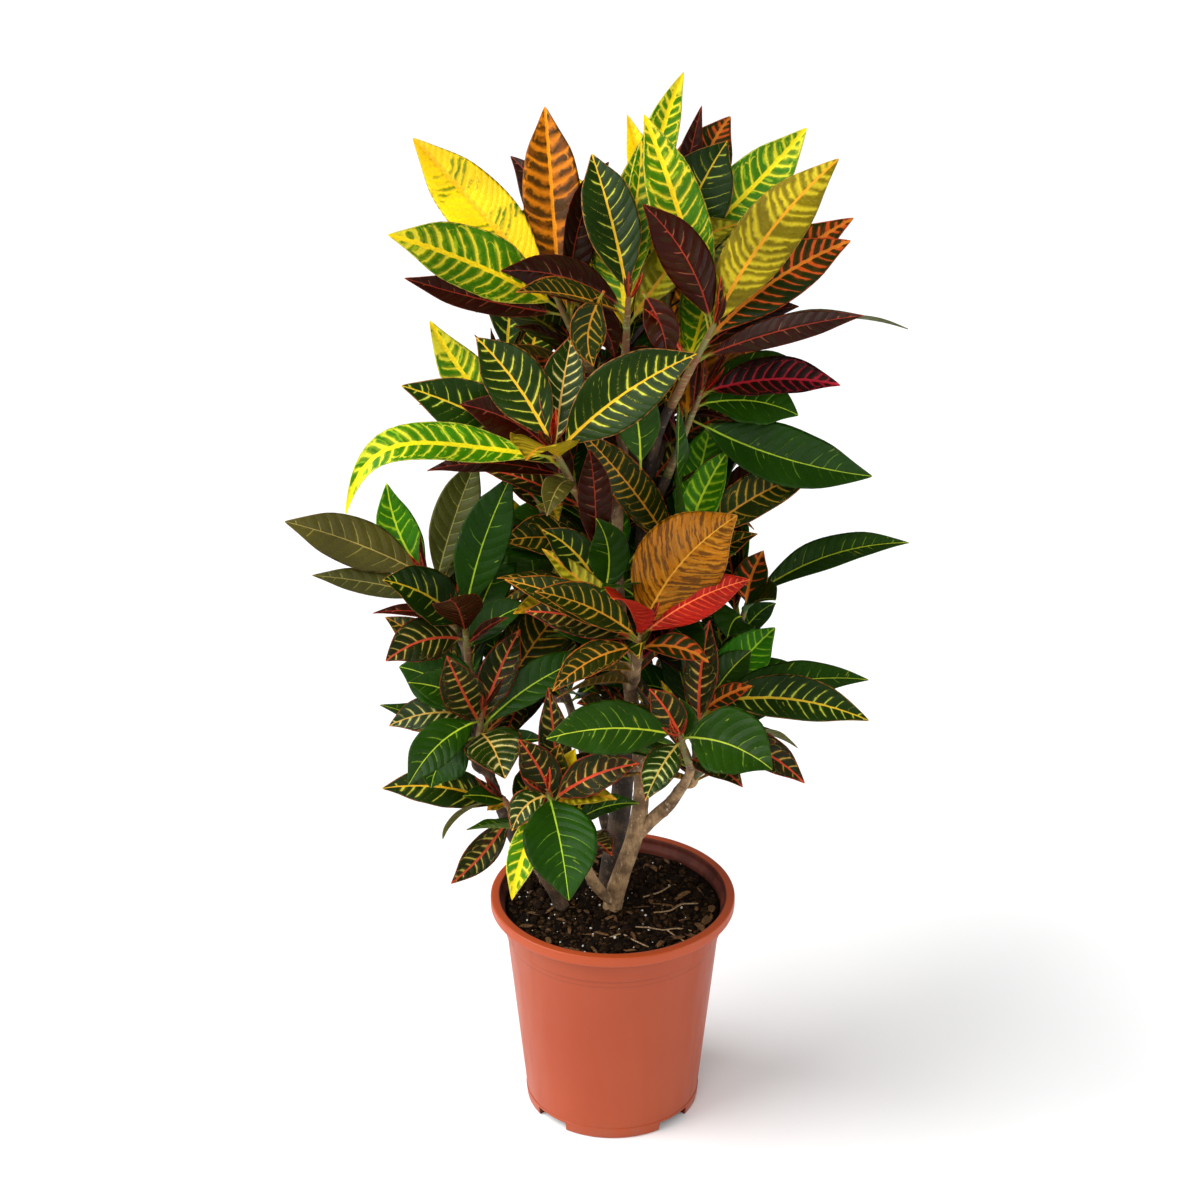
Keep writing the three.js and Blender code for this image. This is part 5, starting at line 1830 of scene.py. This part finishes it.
def addVeinWidth(finish, blade):
    ease, calc = finish.ease, finish.calc
    flooded = calc("MULTIPLY_ADD", blade.flood, ease(blade.t, 0.5, 0.98), 1.0)
    width = blade.veinWidth * flooded * ease(blade.veinLots[0], 0.0, 1.0, 0.6, 1.35)
    width = width * ease(blade.patchy, 0.3, 0.7, 0.6, 1.4)
    blade.width = width * calc("MULTIPLY_ADD", blade.outShare, -0.45, 1.15)
    blade.grows = (blade.veinLots[2] + blade.flood * 0.3) > blade.missing


def arcMask(finish, blade):
    # arcs that close the cells between the veins, near the margin
    ease, calc = finish.ease, finish.calc
    bulge = 1.0 - (1.0 - blade.fromVein) ** 2.0
    lot, place, _ = blade.cellLots
    place = calc("MULTIPLY_ADD", bulge, 0.16, calc("MULTIPLY_ADD", place, 0.3, 0.5))
    apart = abs(blade.outShare - place) * blade.half
    arc = ease(apart, blade.width * 0.15, blade.width * 0.6, 1, 0) * blade.loops * (lot > 0.35)
    return arc * ease(blade.patchy, 0.38, 0.52)


def veinMasks(finish, blade):
    # the veins, and the glow that their colour gives the blade beside them
    ease, width, soft = finish.ease, blade.width, blade.soft
    gap = blade.fromVein * blade.spacing * 0.42  # distance from the vein's middle
    vein = ease(gap, width * (0.5 - soft * 0.25), width * (soft * 0.4 + 0.55), 1, 0)
    reach = (blade.reachHigh - blade.reachLow) * blade.veinLots[1] + blade.reachLow
    lasts = ease(blade.outShare, reach - 0.16, reach, 1, 0) * blade.grows
    vein = finish.calc("MAXIMUM", vein * lasts, arcMask(finish, blade))
    glow = ease(gap, 0.0, width * 2.3, 1, 0) * lasts
    return vein, finish.calc("MULTIPLY", glow, soft * 0.55, clamp=True)


def ribMask(finish, blade):
    # the midrib tapers to the tip and runs out a little into every vein
    taper = (blade.ribTip - blade.ribBase) * blade.t + blade.ribBase
    half = blade.ribWidth * taper * finish.ease(blade.patchy, 0.3, 0.7, 0.36, 0.47)
    half = half + (1.0 - blade.fromVein) * (blade.width * 0.22) * blade.grows
    return finish.ease(blade.out, half * 0.85, half * 1.35, 1, 0)


def edgeMask(finish, blade):
    reach = blade.edgeWidth * finish.ease(blade.patchy, 0.3, 0.7, 0.5, 1.7)
    return finish.ease(blade.half - blade.out, reach * 0.6, reach, 1, 0)


def plainMask(finish, blade):
    # patches without green, more of them towards the tip
    lowest = 0.82 - blade.patches * 0.52 - blade.flood * finish.ease(blade.t, 0.7, 1.0) * 0.2
    field = finish.noise(blade.spot, 34, 2) + (blade.mottle - 0.5) * 0.1
    return finish.ease(field, lowest, lowest + 0.07) * (blade.patches > 0.001)


def stainMask(finish, blade):
    # stains between the veins, drawn out along them
    lowest = 0.72 - blade.speckle * 0.5
    where = finish.join(blade.line * 0.012, blade.across * 0.35, blade.seed)
    return finish.ease(finish.noise(where, 210, 2, 0.5), lowest, lowest + 0.08) * 0.7


def leafFinish():
    finish = Finish("croton leaf")
    blade = bladeValues(finish)
    addVeinLines(finish, blade)
    addVeinWidth(finish, blade)
    vein, glow = veinMasks(finish, blade)
    tones = {key: finish.read(key + "Tone") for key in toneKeys}
    colour = tones["blade"]
    for share, tone in (
        (stainMask(finish, blade), "stain"),
        (glow, "vein"),
        (vein, "vein"),
        (plainMask(finish, blade), "vein"),
        (edgeMask(finish, blade), "edge"),
        (ribMask(finish, blade), "rib"),
        (blade.dull * 0.55, "dull"),
    ):
        colour = finish.mix(share, colour, tones[tone])
    shade = finish.ease(finish.noise(blade.spot, 18, 2), 0.25, 0.75, 0.75, 1.25)
    shade = shade * finish.ease(blade.mottle, 0.3, 0.7, 0.9, 1.1)
    colour = finish.mix(1.0, colour, finish.join(shade, shade, shade), "MULTIPLY")
    stalk = finish.mix(finish.ease(blade.t, 0.0, 0.05, 1, 0), *leafShape["stalkColours"])
    colour = finish.mix(finish.ease(blade.t, 0.07, 0.13, 0.85, 0), colour, stalk)
    relief = blade.fromVein ** 0.6 * 0.8 + finish.ease(blade.out, 0.0, 0.004) * 0.5 + blade.mottle * 0.2
    finish.bump(relief, 0.0011, 0.6)
    roughness = finish.ease(blade.patchy, 0.3, 0.7, 0.3, 0.44) + blade.dull * 0.16
    return finish.done(colour, roughness, Specular_IOR_Level=0.13, IOR=1.4)


def shootFinish():
    finish = Finish("green shoot")
    where = finish.place()
    broad = finish.noise(where, 70, 3)
    rings = finish.noise(finish.stretch(where, (0.5, 0.5, 3)), 130, 3, 0.6)
    colour = finish.mix(finish.ease(broad, 0.35, 0.65), *shoot["colours"])
    colour = finish.mix(finish.ease(rings, 0.55, 0.66, 0, 0.7), colour, shoot["ringColour"])
    finish.bump(rings, 0.0008, 0.7)
    return finish.done(colour, finish.ease(broad, 0.3, 0.7, 0.5, 0.7))


def shootShape(name, seed):
    # a tapering tube up to the bud, with a short ridge under every leaf
    head = heads[name]
    crown, down = crownOf(head), downFrom(head)
    path = np.array([
        [*(crown + head["stalk"]), shoot["baseRadius"]],
        [*crown, shoot["tipRadius"]],
        [*(crown - down * shoot["budLength"]), shoot["tipRadius"] / 2],
    ])

    def relief(length, angle):
        place = length / shoot["leafStep"]
        ridge = np.exp(-(((place - np.floor(place) - 0.5) / shoot["scarWidth"]) ** 2))
        side = 2 * np.pi * draw(np.floor(place) + seed)
        return shoot["scarRise"] * ridge * np.clip(np.cos(angle - side) + 0.2, 0, 1)

    return tube(path, shoot["columns"], shoot["rows"], relief)


def newLeafPieces(name, leaves, seed, material, slot, nodes=()):
    groups = math.ceil(len(leaves) / leafShape["perPiece"])
    for group in range(groups):
        members = leaves[group::groups]
        shapes = [
            leafSkin(leaf, seed + group + groups * place, place, 2 * len(members))
            for place, leaf in enumerate(members)
        ]
        newPiece(f"{name}_{group + 1}", shapes, material, slot, nodes)


def roomTrees(packed):
    # points of all leaves so far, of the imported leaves, of those in the tables and of the wood
    wood = []
    for branches in stems.values():
        for place, branch in enumerate(branches):
            path = stemPath(branch, place == 0)
            wood.append(curve(path[:, :3], np.linspace(stem["woodFrom"], 1, stem["woodPoints"])))
    wood = np.concatenate(wood)
    lowest, highest = innerLeaf["bareWood"]
    points = np.concatenate([samplesOf(leaf) for leaf in packed])
    return {
        "points": points,
        "leaves": treeOf(points),
        "packed": flatTree(points),
        "front": flatTree(np.concatenate([samplesOf(leaf) for leaf in packed if leaf.get("isFront")])),
        "wood": treeOf(wood),
        "bareWood": flatTree(wood[(wood[:, 2] > lowest) & (wood[:, 2] < highest)]),
    }


def buildHeads():
    leafMaterial, shootMaterial = leafFinish(), shootFinish()
    settled = {name: settledLeaves(name) for name in heads}
    packed = [leaf for leaves in settled.values() for leaf in leaves]
    print("leaves found in the packed heads:", len(packed))
    trees = roomTrees(packed)
    leaves = centreLeaves(trees)
    newLeafPieces("centre_leaves", leaves, leafShape["centreSeed"], leafMaterial, "leaf_green")
    total, step = len(leaves), leafShape["seedStep"]
    for number, (name, head) in enumerate(heads.items()):
        slot, node = "leaf_" + head["tone"], f"head_{name}"
        youngSeed = youngLeaf["seedStep"] * number + youngLeaf["firstSeed"]
        leaves = settled[name] + moreLeaves(name, trees) + youngLeaves(name, youngSeed)
        seed = step * number + leafShape["headSeed"]
        newPiece(f"shoot_{name}", [shootShape(name, number)], shootMaterial, slot, [node])
        newLeafPieces(f"leaves_{name}", leaves, seed, leafMaterial, slot, [node])
        total += len(leaves)
    for number, name in enumerate(stems):
        leaves = stemLeaves(name, trees)
        seed = step * number + leafShape["stemSeed"]
        newLeafPieces(f"{name}_leaves", leaves, seed, leafMaterial, "leaf_green")
        total += len(leaves)
    print("heads built,", total, "leaves")


def buildFloor():
    finish = Finish("studio floor")
    grain = finish.noise(finish.place(), 900, 2)
    colour = finish.mix(finish.ease(grain, 0.3, 0.7), studio["floorColour"], studio["floorFleckColour"])
    reach = studio["floorSize"] / 2 / metres
    points = np.array([[-reach, -reach, 0], [reach, -reach, 0], [reach, reach, 0], [-reach, reach, 0]])
    shape = {"points": points, "faces": [np.array([[0, 1, 2, 3]])]}
    floor = newPiece("floor", [shape], finish.done(colour, 0.6))


setCamera()
setLights()
buildFloor()
buildPot()
buildSoil()
buildGrit()
buildStems()
buildHeads()
